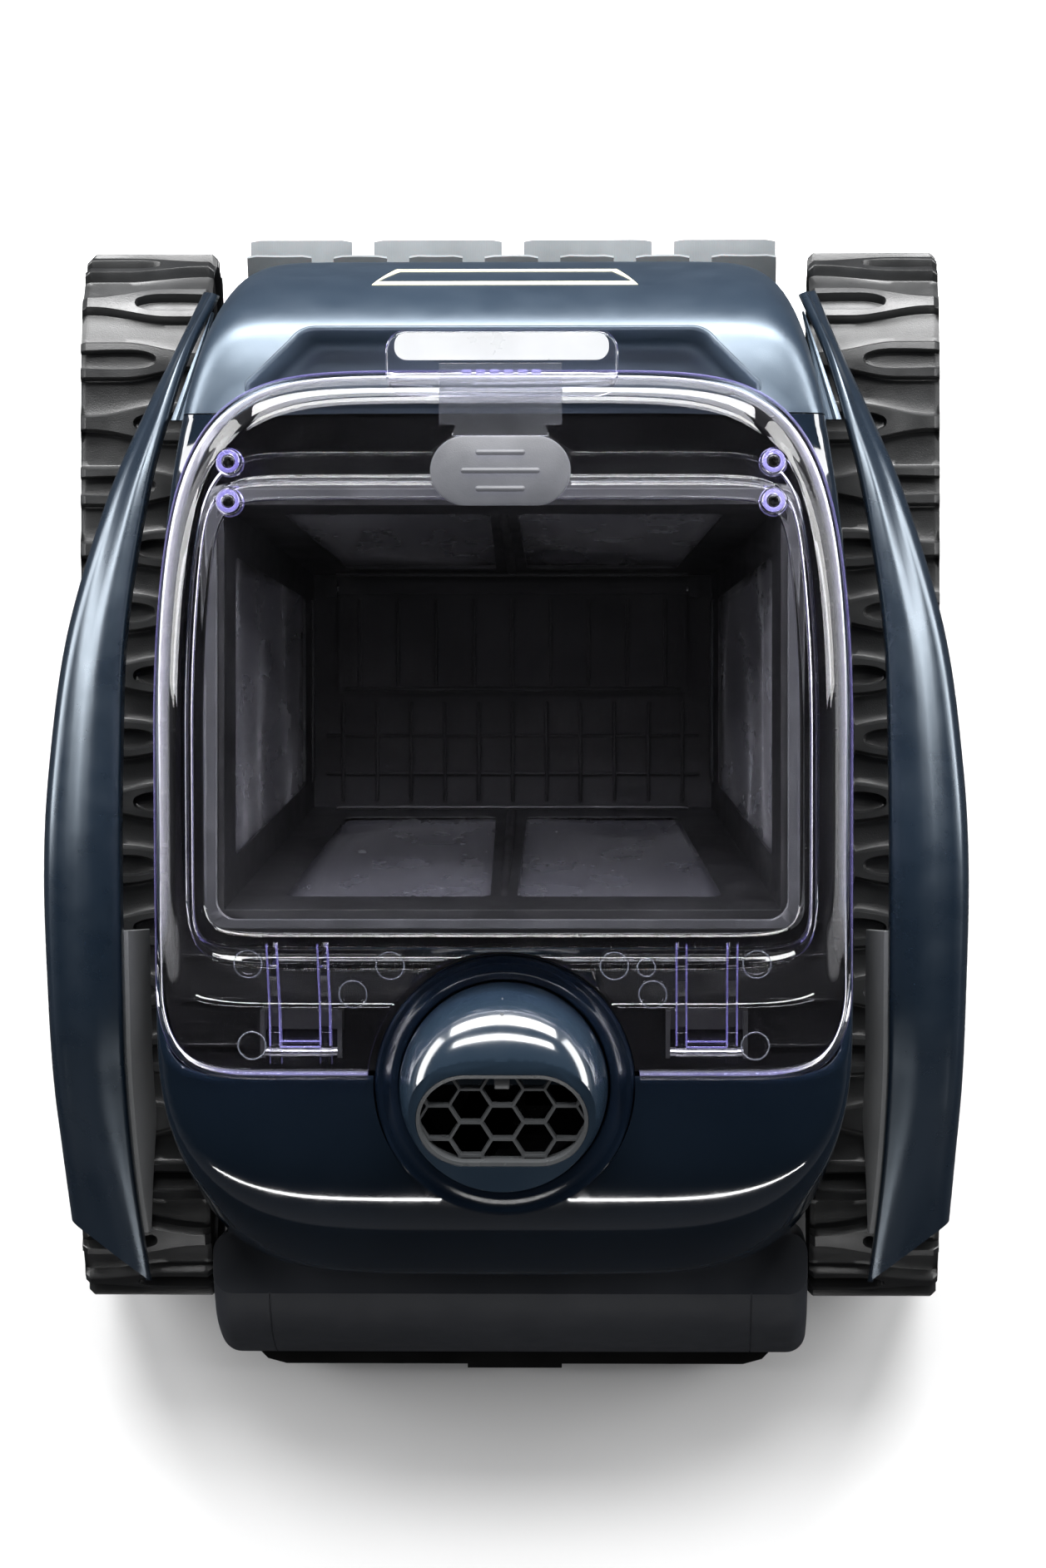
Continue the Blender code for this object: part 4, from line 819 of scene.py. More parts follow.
def belt_point(distance, radius):
    """A point on the belt's path, at a distance run along it, and a radius from its axles."""
    straight = FRONT_AXLE_Y - REAR_AXLE_Y
    turn = pi * TRACK_RADIUS
    distance %= 2 * (straight + turn)
    if distance < straight:
        return REAR_AXLE_Y + distance, AXLE_Z + radius
    distance -= straight
    if distance < turn:
        angle = pi / 2 - distance / TRACK_RADIUS
        return FRONT_AXLE_Y + radius * cos(angle), AXLE_Z + radius * sin(angle)
    distance -= turn
    if distance < straight:
        return FRONT_AXLE_Y - distance, AXLE_Z - radius
    distance -= straight
    angle = -pi / 2 - distance / TRACK_RADIUS
    return REAR_AXLE_Y + radius * cos(angle), AXLE_Z + radius * sin(angle)


LUG_COUNT = 38
LUG_DEPTH = 0.0056
LUG_SLOT = (-0.18, 0.25, 0.0043)
COLUMNS = (0.034, 0.054, 0.12, 0.139, 0.165, 0.18, 0.25, 0.33, 0.42, 0.52, 0.62, 0.71, 0.79, 0.86,
           0.915, 0.94, 0.97, 1.000)


def lug_rows(across, pitch):
    """Rows over one lug at a place across the belt: distance from its middle, and share of its height.

    A lug is a fork: a stem at -1 that widens, round the end of a slot, into two arms at +1.
    """
    half = 0.0031 + 0.0053 * smoothstep(-0.85, 0.35, across)
    start, full, slot_half = LUG_SLOT
    opening = min(1.0, max(0.0, (across - start) / (full - start)))
    slot = slot_half * sqrt(1 - (1 - opening) ** 2) * (1 - 0.1 * smoothstep(0.5, 1.0, across))
    depth = min(1.0, slot / 0.0013)
    gap = pitch / 2 - half
    rows = [
        (pitch / 2, 0.0), (half + gap * 0.62, 0.0), (half + gap * 0.26, 0.03), (half + 0.0011, 0.1),
        (half, 0.9), (half - 0.0005, 1.0), ((half + slot) / 2, 1.0), (slot + 0.0007, 1.0),
        (slot + 0.0003, 1 - 0.1 * depth), (max(slot - 0.0005, slot * 0.5) + 0.0001, 1 - 0.9 * depth),
        (0.0, 1 - depth),
    ]
    return [(-v, height) for v, height in rows] + [(v, height) for v, height in reversed(rows[1:-1])]


def make_track(label, side):
    """A moulded belt: forked lugs outside, open to either edge by turns, and a smooth inner face."""
    length = 2 * (FRONT_AXLE_Y - REAR_AXLE_Y) + 2 * pi * TRACK_RADIUS
    pitch = length / LUG_COUNT
    inner_x, outer_x = TRACK_X
    middle, half = (inner_x + outer_x) / 2, (outer_x - inner_x) / 2
    inner = TRACK_RADIUS - BELT_THICKNESS
    places = [-u for u in reversed(COLUMNS)] + [0.0] + list(COLUMNS)
    rings = []
    for index in range(LUG_COUNT):
        opens = 1 if index % 2 else -1
        columns = [lug_rows(across * opens, pitch) for across in places]
        for row in range(len(columns[0])):
            ring = []
            for across, rows in zip(places, columns):
                shift, height = rows[row]
                shoulder = 0.0024 * max(0.0, (abs(across) - 0.92) / 0.08)
                radius = TRACK_RADIUS - LUG_DEPTH * (1 - height) - shoulder * (0.3 + 0.7 * height)
                ring.append((side * (middle + half * across), *belt_point(index * pitch + shift, radius)))
            under = index * pitch + pitch * (row / len(columns[0]) - 0.5)
            for x in (outer_x, outer_x - 0.001, inner_x + 0.001, inner_x):
                lift = 0.0006 if x in (inner_x, outer_x) else 0.0
                ring.append((side * x, *belt_point(under, inner + lift)))
            rings.append(ring)
    piece(f"{label}_belt", lofted(rings, closed=True), RUBBER, [f"{label}_track"], smooth=32)


def make_wheel(label, side, place, axle_y):
    """A dished, spoked wheel with a flanged rim."""
    centre = ((side * (TRACK_X[0] + TRACK_X[1]) / 2), axle_y, AXLE_Z)
    axis = (side, 0, 0)
    half = 0.027
    rim, well, hub = WHEEL_RADIUS, 0.0405, 0.0158
    bore = 0.0053 if place == "rear" else 0.0103
    profile = [
        (bore, half - 0.003), (bore + 0.0008, half - 0.0022), (hub - 0.001, half - 0.0022),
        (hub, half - 0.0032), (hub + 0.0006, half - 0.0105), (well, half - 0.0105),
        (well + 0.0006, half - 0.0008),
        (well + 0.0014, half), (rim - 0.001, half), (rim, half - 0.001), (rim, half - 0.003),
        (rim - 0.0012, half - 0.0042), (rim - 0.0012, -half + 0.0042), (rim, -half + 0.003),
        (rim, -half + 0.001),
        (rim - 0.001, -half), (well + 0.0014, -half), (well, -half + 0.001), (well - 0.0005, half - 0.0135),
        (hub, half - 0.0135), (hub, -half + 0.004), (bore, -half + 0.004),
    ]
    name = f"{label}_{place}_wheel"
    body = f"{label}_idler" if place == "front" else f"{label}_drive"
    wheel = piece(f"{name}_cast", turned(profile, centre, axis, 96), BLACK, [name], body)
    on_wheel = placed_on(axis, centre)
    opening = [(0.0205 * cos(a), 0.0205 * sin(a)) for a in (-0.28, -0.1, 0.1, 0.28)]
    opening += [(0.0365 * cos(a), 0.0365 * sin(a)) for a in (0.36, 0.2, 0.0, -0.2, -0.36)]
    for k in range(6):
        carve(wheel, moved(prism(opening, 0.01, 0.02), on_wheel @ Matrix.Rotation(pi / 3 * k, 4, "Z")))
    ribs = []
    low, high = (hub - 0.0015, -0.0011, half - 0.0115), (well + 0.001, 0.0011, half - 0.0045)
    for k in range(6):
        rib = rounded_block(low, high, 0.0004)
        ribs.append(moved(rib, on_wheel @ Matrix.Rotation(pi / 3 * (k + 0.5), 4, "Z")))
    cap = moved(rod(0.0095, 0.003, (0, 0, half - 0.0008), steps=48, edge=0.0008), on_wheel)
    piece(f"{name}_ribs", merged(*ribs), BLACK, body=body)
    piece(f"{name}_cap", cap, GREY, body=body)


def tooth_row(angle, toothed):
    """One fin of the brush: a root strip with seven teeth, or the four wide plates of every other row."""
    slot, teeth = 0.0104, 7
    pitch = 2 * BRUSH_HALF / teeth
    if toothed:
        edges = [-BRUSH_HALF + pitch * k for k in range(teeth + 1)]
    else:
        edges = [-BRUSH_HALF, -BRUSH_HALF + pitch * 1.5, 0.0, BRUSH_HALF - pitch * 1.5, BRUSH_HALF]
    hub, root = 0.0165, 0.03
    parts = [plate_between(-BRUSH_HALF, BRUSH_HALF, hub, root + 0.0004, angle)]
    for low, high in zip(edges, edges[1:]):
        low += slot / 2 if low > edges[0] else 0
        high -= slot / 2 if high < edges[-1] else 0
        parts.append(plate_between(low, high, root - 0.0004, BRUSH_RADIUS, angle))
    return parts


def plate_between(low, high, near, far, angle):
    """A thin flexible plate along X, from one radius to another, thinner and swept at its tip."""
    along = Vector((0, cos(angle), sin(angle)))
    across = Vector((0, -sin(angle), cos(angle)))
    sides, columns = 6, max(4, int((high - low) / 0.004))
    rings = []
    for j in range(columns + 1):
        share = j / columns
        x = low + (high - low) * share
        axis = Vector((x, BRUSH_Y, BRUSH_Z))
        pull = 0.0008 * (1 - smoothstep(0.0, 0.08, min(share, 1 - share)))
        upper, lower = [], []
        for i in range(sides + 1):
            radius = near + (far - near - pull * (i == sides)) * i / sides
            half = 0.00125 - 0.00045 * smoothstep(0.018, 0.045, radius)
            sweep = 0.0016 * smoothstep(0.024, 0.045, radius) + 0.0002 * sin(x * 260 + angle * 7)
            point = axis + along * sqrt(max(0.0, radius**2 - sweep**2))
            upper.append(point + across * (sweep + half))
            lower.append(point + across * (sweep - half))
        rings.append(upper + list(reversed(lower)))
    return capped(rings)


def make_brush():
    """The finned sleeve: toothed fins and wide plates by turns round a hub."""
    parts = []
    for k in range(BRUSH_FINS):
        parts += tooth_row(2 * pi * k / BRUSH_FINS, toothed=k % 2 == 1)
    wall, outer = 0.0063, 0.0172
    profile = [(wall, BRUSH_HALF), (outer - 0.0006, BRUSH_HALF), (outer, BRUSH_HALF - 0.0006),
               (outer, -BRUSH_HALF + 0.0006), (outer - 0.0006, -BRUSH_HALF), (wall, -BRUSH_HALF)]
    parts.append(turned(profile, (0, BRUSH_Y, BRUSH_Z), (1, 0, 0), 64))
    piece("brush_fins", merged(*parts), PVC, ["brush_sleeve"], "brush", smooth=50)


# ---------------------------------------------------------------- chassis


def make_tail():
    """The blunt stern under the rear hull, with a bevelled foot and two moulding seams."""
    half, front, corner = 0.1382, -0.1973, 0.009
    rows = [(0.0185, -0.2585)] + spline(STERN_CURVE, 18)
    rings = []
    for height, rear in rows:
        pull = 0.0012 if height < 0.019 else 0.0
        rings.append(at_height(rounded_rectangle(-half + pull, half - pull, rear, front, corner), height))
    tail = piece("stern", capped(rings), CHASSIS, ["tail_bumper"])
    seam = ((-0.0003, -0.002), (0.0003, -0.002), (0.0003, 0.0006), (-0.0003, 0.0006))
    for x in (-0.112, 0.112):
        carve(tail, capped([[(x + u, rear + v, height) for u, v in seam]
                            for height, rear in [(0.01, rows[1][1]), *rows[1:], (0.11, rows[-1][1])]]))
    soften(tail, 0.0005, 2, 55)


def make_side_cover(label, side):
    """The ribbed panel that closes the machine's side between its wheels, and its screws."""
    def on_side(u, v, w):
        return (side * w, u, v)

    plan = rounded_rectangle(-0.112, 0.143, 0.013, 0.101, 0.014)
    cover = piece(f"{label}_side_cover", prism(plan, 0.1885, 0.1925, on_side, edge=0.0012), CHASSIS)
    slots = []
    for k in range(9):
        middle = -0.078 + 0.0235 * k
        slot = [(middle + u, 0.057 + v) for v, u in stadium(0.026, 0.003, 10)]
        slots.append(prism(slot, 0.191, 0.2, on_side))
    carve(cover, merged(*slots))
    soften(cover, 0.0004, 2, 50)
    heads = [rod(0.0032, 0.0016, (side * 0.193, y, z), (side, 0, 0), 24, 0.0005)
             for y in (-0.102, 0.133) for z in (0.023, 0.091)]
    piece(f"{label}_cover_screws", merged(*heads), DARK_STEEL)


def make_foot_seal():
    """The soft lip under the hull's foot."""
    _, _, front, rear, half, front_power, rear_power = HULL_LEVELS[0]
    levels = ((0.0036, 0.1172), (0.001, 0.1174), (0.0004, 0.1182), (0.001, 0.1188), (0.0036, 0.1189))
    lip = []
    for inset, height in levels:
        ring = outline(front - inset, rear + inset, half - inset, front_power, rear_power)
        lip.append(at_height(ring, height))
    piece("hull_foot_seal", lofted(lip, closed=True), RUBBER)


# ---------------------------------------------------------------- lid and latch


def lid_ring(level, inset=0.0, drop=0.0):
    """One level of the lid as a ring, which rises towards the front."""
    front, rear, half, behind, ahead, front_power, rear_power = level
    ring = outline(front - inset, rear + inset, half - inset, front_power, rear_power, LID_REAR_TAPER)
    made = []
    for x, y in ring:
        rise = behind + (ahead - behind) * smoothstep(-0.09, -0.03, y)
        made.append((x, y, RIM[0] + GAP + RIM[1] * y + rise - drop))
    return made


def lid_rings():
    """Rings up the lid's outside to its window, and the same a wall's thickness inside."""
    foot = (0.1945, -0.1215, 0.1562, 0.0, 0.0, 6, 16)
    levels = [foot] + spline(LID_LEVELS, 26) + spline(WINDOW_LEVELS, 30) + spline(PANE_LEVELS, 16)[1:]
    outer = [lid_ring(level) for level in levels]
    inner = []
    for k, level in enumerate(levels):
        share = k / len(LID_LEVELS) / 3
        inset = LID_WALL * (1 - smoothstep(0.1, 1.0, share))
        inner.append(lid_ring(level, inset, LID_WALL * smoothstep(0.0, 0.6, share)))
    return list(reversed(inner)) + outer


def surface_height(surface, x, y):
    """Height of a surface's top at a place."""
    return surface.ray_cast(Vector((x, y, 0.4)), Vector((0, 0, -1)))[0].z


def make_lid():
    """The clear cover, with its finger tab, an arch round the nozzle, and all that rides on it."""
    lid = piece("lid_cover", capped(lid_rings()), CLEAR, ["lid_shell"], "lid", 50)
    surface = BVHTree.FromPolygons([v.co for v in lid.data.vertices], [p.vertices for p in lid.data.polygons])
    tab = []
    low, high = TAB_Z
    for grow, height in ((-0.0016, low), (-0.0004, low + 0.0005), (0.0, low + 0.0014), (0.0, high - 0.0014),
                         (-0.0004, high - 0.0005), (-0.0014, high)):
        plan = rounded_rectangle(-TAB_HALF - grow, TAB_HALF + grow, TAB_Y[0], TAB_Y[1] + grow, 0.009)
        tab.append(at_height(plan, height))
    carve(lid, capped(tab), "UNION", 50)
    carve(lid, rod(LID_ARCH_RADIUS, 0.1, (0, NOZZLE_Y, 0.225), steps=160), smooth=50)
    add_hinge_ribs(lid, surface)
    for x, y in SCREWS:
        carve(lid, turned(BOSS_PROFILE, (x, y, 0.0), steps=40), "UNION", 50)
        carve(lid, rod(0.0029, 0.006, (x, y, 0.2566), steps=40), smooth=50)
    make_lid_marks(surface)
    make_lid_screws()
    make_rib_highlights(surface)

    levels = ((0.004, 0.23), (0.004, 0.2318), (0.0034, 0.2324), (-0.0008, 0.2324), (-0.0014, 0.2318),
              (-0.0014, 0.23))
    seal = [at_height(grown(BASKET_TOP, grow, 0.009, grow * 0.8), height) for grow, height in levels]
    piece("lid_seal", lofted(seal, closed=True), RUBBER, ["lid_gasket"], "lid")

    plate = rounded_rectangle(-0.0475, 0.0475, 0.1985, 0.2108, 0.0055)
    piece("tab_plate", prism(plate, 0.2401, 0.2409, edge=0.0002), PLATE, ["lid_plate"], "lid")
    grips = [rounded_block((x - 0.0021, 0.1916, 0.2396), (x + 0.0021, 0.1944, 0.241), 0.0006, 3)
             for x in (-0.0155 + 0.0062 * k for k in range(6))]
    piece("tab_grips", merged(*grips), EDGE_GLOW, body="lid")


def add_hinge_ribs(lid, surface):
    """Two ribs and two crossbars under the lid at each hinge."""
    for side in (-1, 1):
        for near, far in ((0.077, 0.0822), (0.0995, 0.1047)):
            x = side * (near + far) / 2
            top = [(y, surface_height(surface, x, y) - 0.0006) for y in
                   (-0.114, -0.106, -0.096, -0.086, -0.076, -0.067, -0.059)]
            under = [(-0.059, top[-1][1] - 0.0022), (-0.076, top[-3][1] - 0.005),
                     (-0.092, top[-5][1] - 0.0075), (-0.103, 0.199), (-0.114, 0.199)]
            low, high = sorted((side * near, side * far))
            carve(lid, prism(top + under, low, high, lambda u, v, w: (w, u, v)), "UNION", 50)
        for y, depth in ((-0.1065, 0.0016), (-0.1105, 0.0012)):
            z = surface_height(surface, side * 0.09, y)
            bar = mirrored_block(side, 0.0815, 0.1, (y - depth, z - 0.0042), (y + depth, z - 0.0006))
            carve(lid, bar, "UNION", 50)


def make_lid_screws():
    """Four screws with hexagon sockets, and rings of painted highlight round their bosses."""
    for index, (x, y) in enumerate(SCREWS):
        head = rod(0.0026, 0.0018, (x, y, 0.2546), steps=32, edge=0.0004)
        screw = piece(f"lid_screw_head_{index + 1}", head, DARK_STEEL, [f"lid_screw_{index + 1}"], "lid")
        carve(screw, prism(hexagon(x, y, 0.0013), 0.2546, 0.26))
    rings = [turned(BOSS_HIGHLIGHT_PROFILE, (x, y, 0.0), steps=40) for x, y in SCREWS]
    # Rings of glowing acrylic on the bosses' tops: painted highlight
    piece("lid_boss_highlight_rings", merged(*rings), EDGE_GLOW, body="lid")


def make_rib_highlights(surface):
    """Lines of painted highlight along the tops of the hinge ribs and across them."""
    edges = []
    section = ((-0.0004, -0.0002), (0.0004, -0.0002), (0.0003, 0.0004), (-0.0003, 0.0004))
    stations = [-0.106 + 0.005 * k for k in range(9)] + [-0.06]
    for side in (-1, 1):
        for x in (0.0774, 0.0818, 0.0999, 0.1043):
            places = ((y, surface_height(surface, side * x, y)) for y in stations)
            edges.append(capped([[(side * x + u, y, z + v) for u, v in section] for y, z in places]))
        for y in (-0.104, -0.1066):
            z = surface_height(surface, side * 0.091, y)
            low, high = (y - 0.0004, z - 0.0003), (y + 0.0004, z + 0.0004)
            edges.append(mirrored_block(side, 0.0816, 0.1001, low, high, 0.0002))
    # Strips of glowing acrylic on the carved ribs' tops: painted highlight
    piece("lid_rib_highlights", merged(*edges), EDGE_GLOW, body="lid")


def make_lid_marks(surface):
    """Plain ejector circles standing a little proud of the lid's rear."""
    marks = [(side * x, y, EJECTOR_RADIUS) for side in (-1, 1) for x, y in EJECTOR_MARKS]
    rings = []
    for x, y, radius in marks + [(0.064, -0.0705, 0.004)]:
        loops = []
        for grow, lift in ((-0.00032, -0.0002), (0.0, 0.00025), (0.00032, -0.0002)):
            circle = arc((x, y), radius + grow, 0, 360, 48)[:-1]
            loops.append([(u, v, surface_height(surface, u, v) + lift) for u, v in circle])
        rings.append(lofted(loops, closed=True))
    piece("lid_marks", merged(*rings), MARK_HAZE, body="lid")


def make_latch():
    """The frosted pad with three finger ribs, and the clear dovetailed strap in front of it."""
    centre_y, low = 0.1487, 0.2573
    levels = ((0.9965, 0.0), (1.0, 0.0005), (1.0, 0.002), (0.985, 0.0027), (0.955, 0.003))
    rings = [[(x * s, centre_y + y * s, low + h) for x, y in stadium(0.0309, 0.0153, 32)] for s, h in levels]
    piece("latch_button", capped(rings), FROSTED, ["latch_pad"], "latch")
    ribs = []
    for offset, half in ((0.008, 0.011), (0.0, 0.0175), (-0.008, 0.011)):
        middle = centre_y + offset
        rings = []
        for share, height in ((1.0, 0.0028), (1.0, 0.0036), (0.6, 0.0043), (0.0, 0.0045)):
            pull, flat = 0.0013 * (1 - share), max(share, 0.02)
            rings.append([(x - copysign(min(pull, abs(x)), x), middle + y * flat, low + height)
                          for x, y in stadium(half, 0.0013, 10)])
        ribs.append(capped(rings))
    piece("latch_ribs", merged(*ribs), FROSTED, body="latch")

    right = [(0.027, 0.196), (0.027, 0.169), (0.0195, 0.169), (0.0215, 0.164), (0.015, 0.164)]
    band = prism([(-x, y) for x, y in reversed(right)] + right, low, low + 0.0012, edge=0.0002)
    strap = piece("latch_band", band, CLEAR_FILM, ["latch_strap"], "latch")
    carve(strap, rounded_block((-0.0262, 0.17, low + 0.001), (0.0262, 0.195, low + 0.003)))


# ---------------------------------------------------------------- outlet nozzle


def outlet_place(u, v, w):
    """From the outlet's own plane (across, up the slope, outwards) to the machine."""
    run, rise = cos(OUTLET_TILT), sin(OUTLET_TILT)
    return (u, OUTLET_CENTRE[0] + v * run - w * rise, OUTLET_CENTRE[1] + v * rise + w * run)


def dome_point(across, along, lift):
    """A point over the dome at a place from its middle; it is flatter towards its rear."""
    distance = hypot(across, along)
    power = 5.0 - 2.4 * (0.5 + 0.5 * along / max(1e-6, distance)) ** 2
    reach = min(1.0, distance / NOZZLE_RADIUS)
    rise = (NOZZLE_TOP_Z - NOZZLE_SHOULDER_Z) * (1 - reach**power) ** (1 / power)
    return (across, NOZZLE_Y + along, NOZZLE_SHOULDER_Z + rise + lift)


def make_dome():
    """The nozzle's hooded dome, its foot, and the tick on its brow."""
    def circle(share):
        angles = (2 * pi * k / 144 for k in range(144))
        return [(share * NOZZLE_RADIUS * cos(a), share * NOZZLE_RADIUS * sin(a)) for a in angles]

    foot = ((0.975, NOZZLE_BASE_Z), (0.985, NOZZLE_BASE_Z + 0.0008), (0.985, 0.196), (1.0, 0.1966))
    rings = [[(u, NOZZLE_Y + v, height) for u, v in circle(share)] for share, height in foot]
    for share in (cos(pi / 2 * k / 26) ** 0.9 for k in range(26)):
        rings.append([dome_point(u, v, 0.0002) for u, v in circle(share)])
    dome = piece("outlet_dome", capped(rings), DOME_GLOSS, ["nozzle_dome"], "nozzle")
    carve(dome, prism([(-0.08, -0.08), (0.08, -0.08), (0.08, 0.08), (-0.08, 0.08)], 0.0, 0.08, outlet_place))
    carve(dome, prism(stadium(*OUTLET_HALF, 40), -0.022, 0.03, outlet_place))
    carve(dome, rod(0.0405, 0.05, (0, NOZZLE_Y, 0.19), steps=96))
    soften(dome, 0.0007, 3, 50)
    tick = [(x, 0.033 + y) for x, y in ((-0.0007, 0.0), (0.0007, 0.0), (0.0003, 0.0075), (-0.0003, 0.0075))]
    tick_levels = [[dome_point(x, y, lift) for x, y in tick] for lift in (-0.0002, 0.0005)]
    piece("dome_tick", capped(tick_levels), GRILLE_GREY, body="nozzle")


def make_outlet():
    """The outlet's rim, its honeycomb and the small stop at its top."""
    outer = stadium(OUTLET_HALF[0] - 0.0002, OUTLET_HALF[1] - 0.0002, 40)
    inner = stadium(0.0366, 0.0206, 40)
    levels = ((inner, -0.007), (inner, -0.0006), (inner, -0.0002), (outer, 0.0), (outer, -0.0004),
              (outer, -0.007))
    rim = lofted([[outlet_place(u, v, w) for u, v in ring] for ring, w in levels], closed=True)
    piece("outlet_rim", rim, GRILLE_GREY, body="nozzle", smooth=50)

    plate = prism(stadium(0.0368, 0.0208, 32), -0.0078, -0.004, outlet_place)
    comb = piece("outlet_comb", plate, GRILLE_GREY, ["nozzle_grille"], "nozzle")
    pitch, wall = 0.0164, 0.00055
    corner = (pitch / 2 - wall) / cos(pi / 6)
    for column in range(-3, 4):
        for row in range(-2, 3):
            u = column * pitch * sqrt(3) / 2
            v = row * pitch + (pitch / 2 if column % 2 else 0.0) - 0.003
            if abs(u) <= 0.044 and abs(v) <= 0.03:
                carve(comb, prism(hexagon(u, v, corner), -0.012, 0.002, outlet_place))
    stop = rounded_block((-0.0034, 0.014, -0.005), (0.0034, 0.0195, -0.003), 0.0005)
    for vert in stop.verts:
        vert.co = outlet_place(*vert.co)
    piece("outlet_stop", stop, GRILLE_GREY, body="nozzle")


def make_seat():
    """The ring that the nozzle turns in."""
    inner, outer = SEAT_RADII
    profile = [(inner, 0.18), (inner, 0.1938), (inner + 0.0006, 0.1946), (inner + 0.0022, 0.195),
               (inner + 0.004, 0.1946), (inner + 0.0052, 0.1935), (outer - 0.0036, 0.1926),
               (outer - 0.0016, 0.1936), (outer - 0.0006, 0.1932), (outer, 0.192), (outer, 0.18)]
    piece("outlet_seat", turned(profile, (0, NOZZLE_Y, 0), steps=144), SEAT_NAVY, ["nozzle_seat"])


# ---------------------------------------------------------------- filter basket


def basket_ring(share, grow=0.0):
    """The basket's corners at a share of the way from its floor (0) to its rim (1)."""
    left, right, rear, front = (low + (high - low) * share for low, high in zip(BASKET_FLOOR, BASKET_TOP))
    z = BASKET_Z[0] + (BASKET_Z[1] - BASKET_Z[0]) * share
    left, right, rear, front = left - grow, right + grow, rear - grow, front + grow
    return [Vector(p) for p in ((left, rear, z), (right, rear, z), (right, front, z), (left, front, z))]


def wall_point(wall, share, place, grow=0.0):
    """A point on one of the basket's four sloping walls."""
    ring = basket_ring(share, grow)
    return ring[wall].lerp(ring[(wall + 1) % 4], place)


# Windows of the basket: number of the wall, and where they start and end along it
END_WINDOWS = ((0, 0.09, 0.475), (0, 0.525, 0.91), (2, 0.09, 0.475), (2, 0.525, 0.91))
SIDE_WINDOWS = ((1, 0.11, 0.89), (3, 0.11, 0.89))


def make_basket():
    """A tapered frame with six windows, a turned-out rim, and slim ribs inside."""
    shell = capped([basket_ring(share) for share in (0.0, 0.93, 1.0)])
    basket = piece("basket_frame", shell, BLACK, ["filter_frame"])
    levels = ((0.004, 0.2252), (0.0058, 0.2256), (0.0062, 0.2266), (0.0062, 0.2284), (0.0056, 0.2292),
              (0.004, 0.2295))
    rim = [at_height(grown(BASKET_TOP, grow, 0.012, grow - 0.0008), height) for grow, height in levels]
    carve(basket, capped(rim), "UNION")
    wall, past = 0.0028, Vector((0, 0, 0.01))
    inside = [[p + past * way for p in basket_ring(share, -wall)] for share, way in ((0.0, -1), (1.0, 1))]
    carve(basket, capped(inside))
    for number, low, high in END_WINDOWS + SIDE_WINDOWS:
        corners = ((0.11, low + 0.012), (0.1, low + 0.03), (0.1, high - 0.03), (0.11, high - 0.012),
                   (0.865, high), (0.88, high - 0.014), (0.88, low + 0.014), (0.865, low))
        rings = [[wall_point(number, *corner, grow) for corner in corners] for grow in (-0.02, 0.02)]
        carve(basket, capped(rings))
    soften(basket, 0.0006, 2, 45)

    runs = SIDE_WINDOWS + ((0, 0.06, 0.94), (2, 0.06, 0.94))
    lines = [(number, (share, low), (share, high), 0.001)
             for number, low, high in runs for share in (0.055, 0.935)]
    lines += [(number, (0.1, 0.5), (0.88, 0.5), 0.0022) for number in (0, 2)]
    ribs = [strip(wall_point(number, *start, -wall), wall_point(number, *end, -wall), half)
            for number, start, end, half in lines]
    piece("basket_ribs", merged(*ribs), BLACK)


def strip(start, end, half):
    """A slim half-round rib between two points, on the side of the basket's middle."""
    along = (end - start).normalized()
    out = Vector((0, 0.045, 0.14)) - (start + end) / 2
    out = (out - along * out.dot(along)).normalized()
    across = along.cross(out)
    angles = [pi * k / 8 for k in range(9)]
    rings = []
    for t, height in ((0.0, 0.35), (0.02, 1.0), (0.98, 1.0), (1.0, 0.35)):
        middle, rise = start.lerp(end, t), out * half * height
        rings.append([middle + across * half * cos(a) + rise * sin(a) for a in angles])
    return capped(rings)


def mesh_wave(wall, share, place):
    """How far the stretched cloth stands out at a place, none along its edges."""
    hold = min(1.0, 9 * (share - 0.06), 9 * (0.92 - share), 14 * (place - 0.055), 14 * (0.945 - place))
    if wall in (0, 2):
        hold = min(hold, 22 * abs(place - 0.5))
    hold = smoothstep(0.0, 1.0, hold)
    across = place * (9.0 if wall in (0, 2) else 3.0) + wall * 1.7
    up = share * (3.6 if wall in (0, 2) else 9.0) + wall * 0.9
    wave = sin(across + 1.6 * sin(up)) + 0.55 * sin(2.1 * across - 1.3 * up + 1.0)
    wave += 0.35 * sin(3.4 * up + 0.8 * across)
    return 0.0007 + hold * (0.0021 + 0.0015 * wave)


def make_mesh_cloth():
    """Four sheets of filter cloth, stretched over the outside of the frame's windows."""
    low, high, left, right = 0.06, 0.92, 0.055, 0.945
    for wall, label in enumerate(("rear", "right", "front", "left")):
        rows = []
        for i in range(73):
            share = low + (high - low) * i / 72
            places = (left + (right - left) * j / 96 for j in range(97))
            rows.append([wall_point(wall, share, place, mesh_wave(wall, share, place)) for place in places])
        sheet = piece(f"filter_cloth_{label}", lofted(rows, open_rows=True), MESH, [f"filter_mesh_{label}"],
                      smooth=180)


def floor_rib(x, y, z, edge):
    """A low rib as a block, from its ranges along each axis."""
    return rounded_block(*zip(x, y, z), edge)


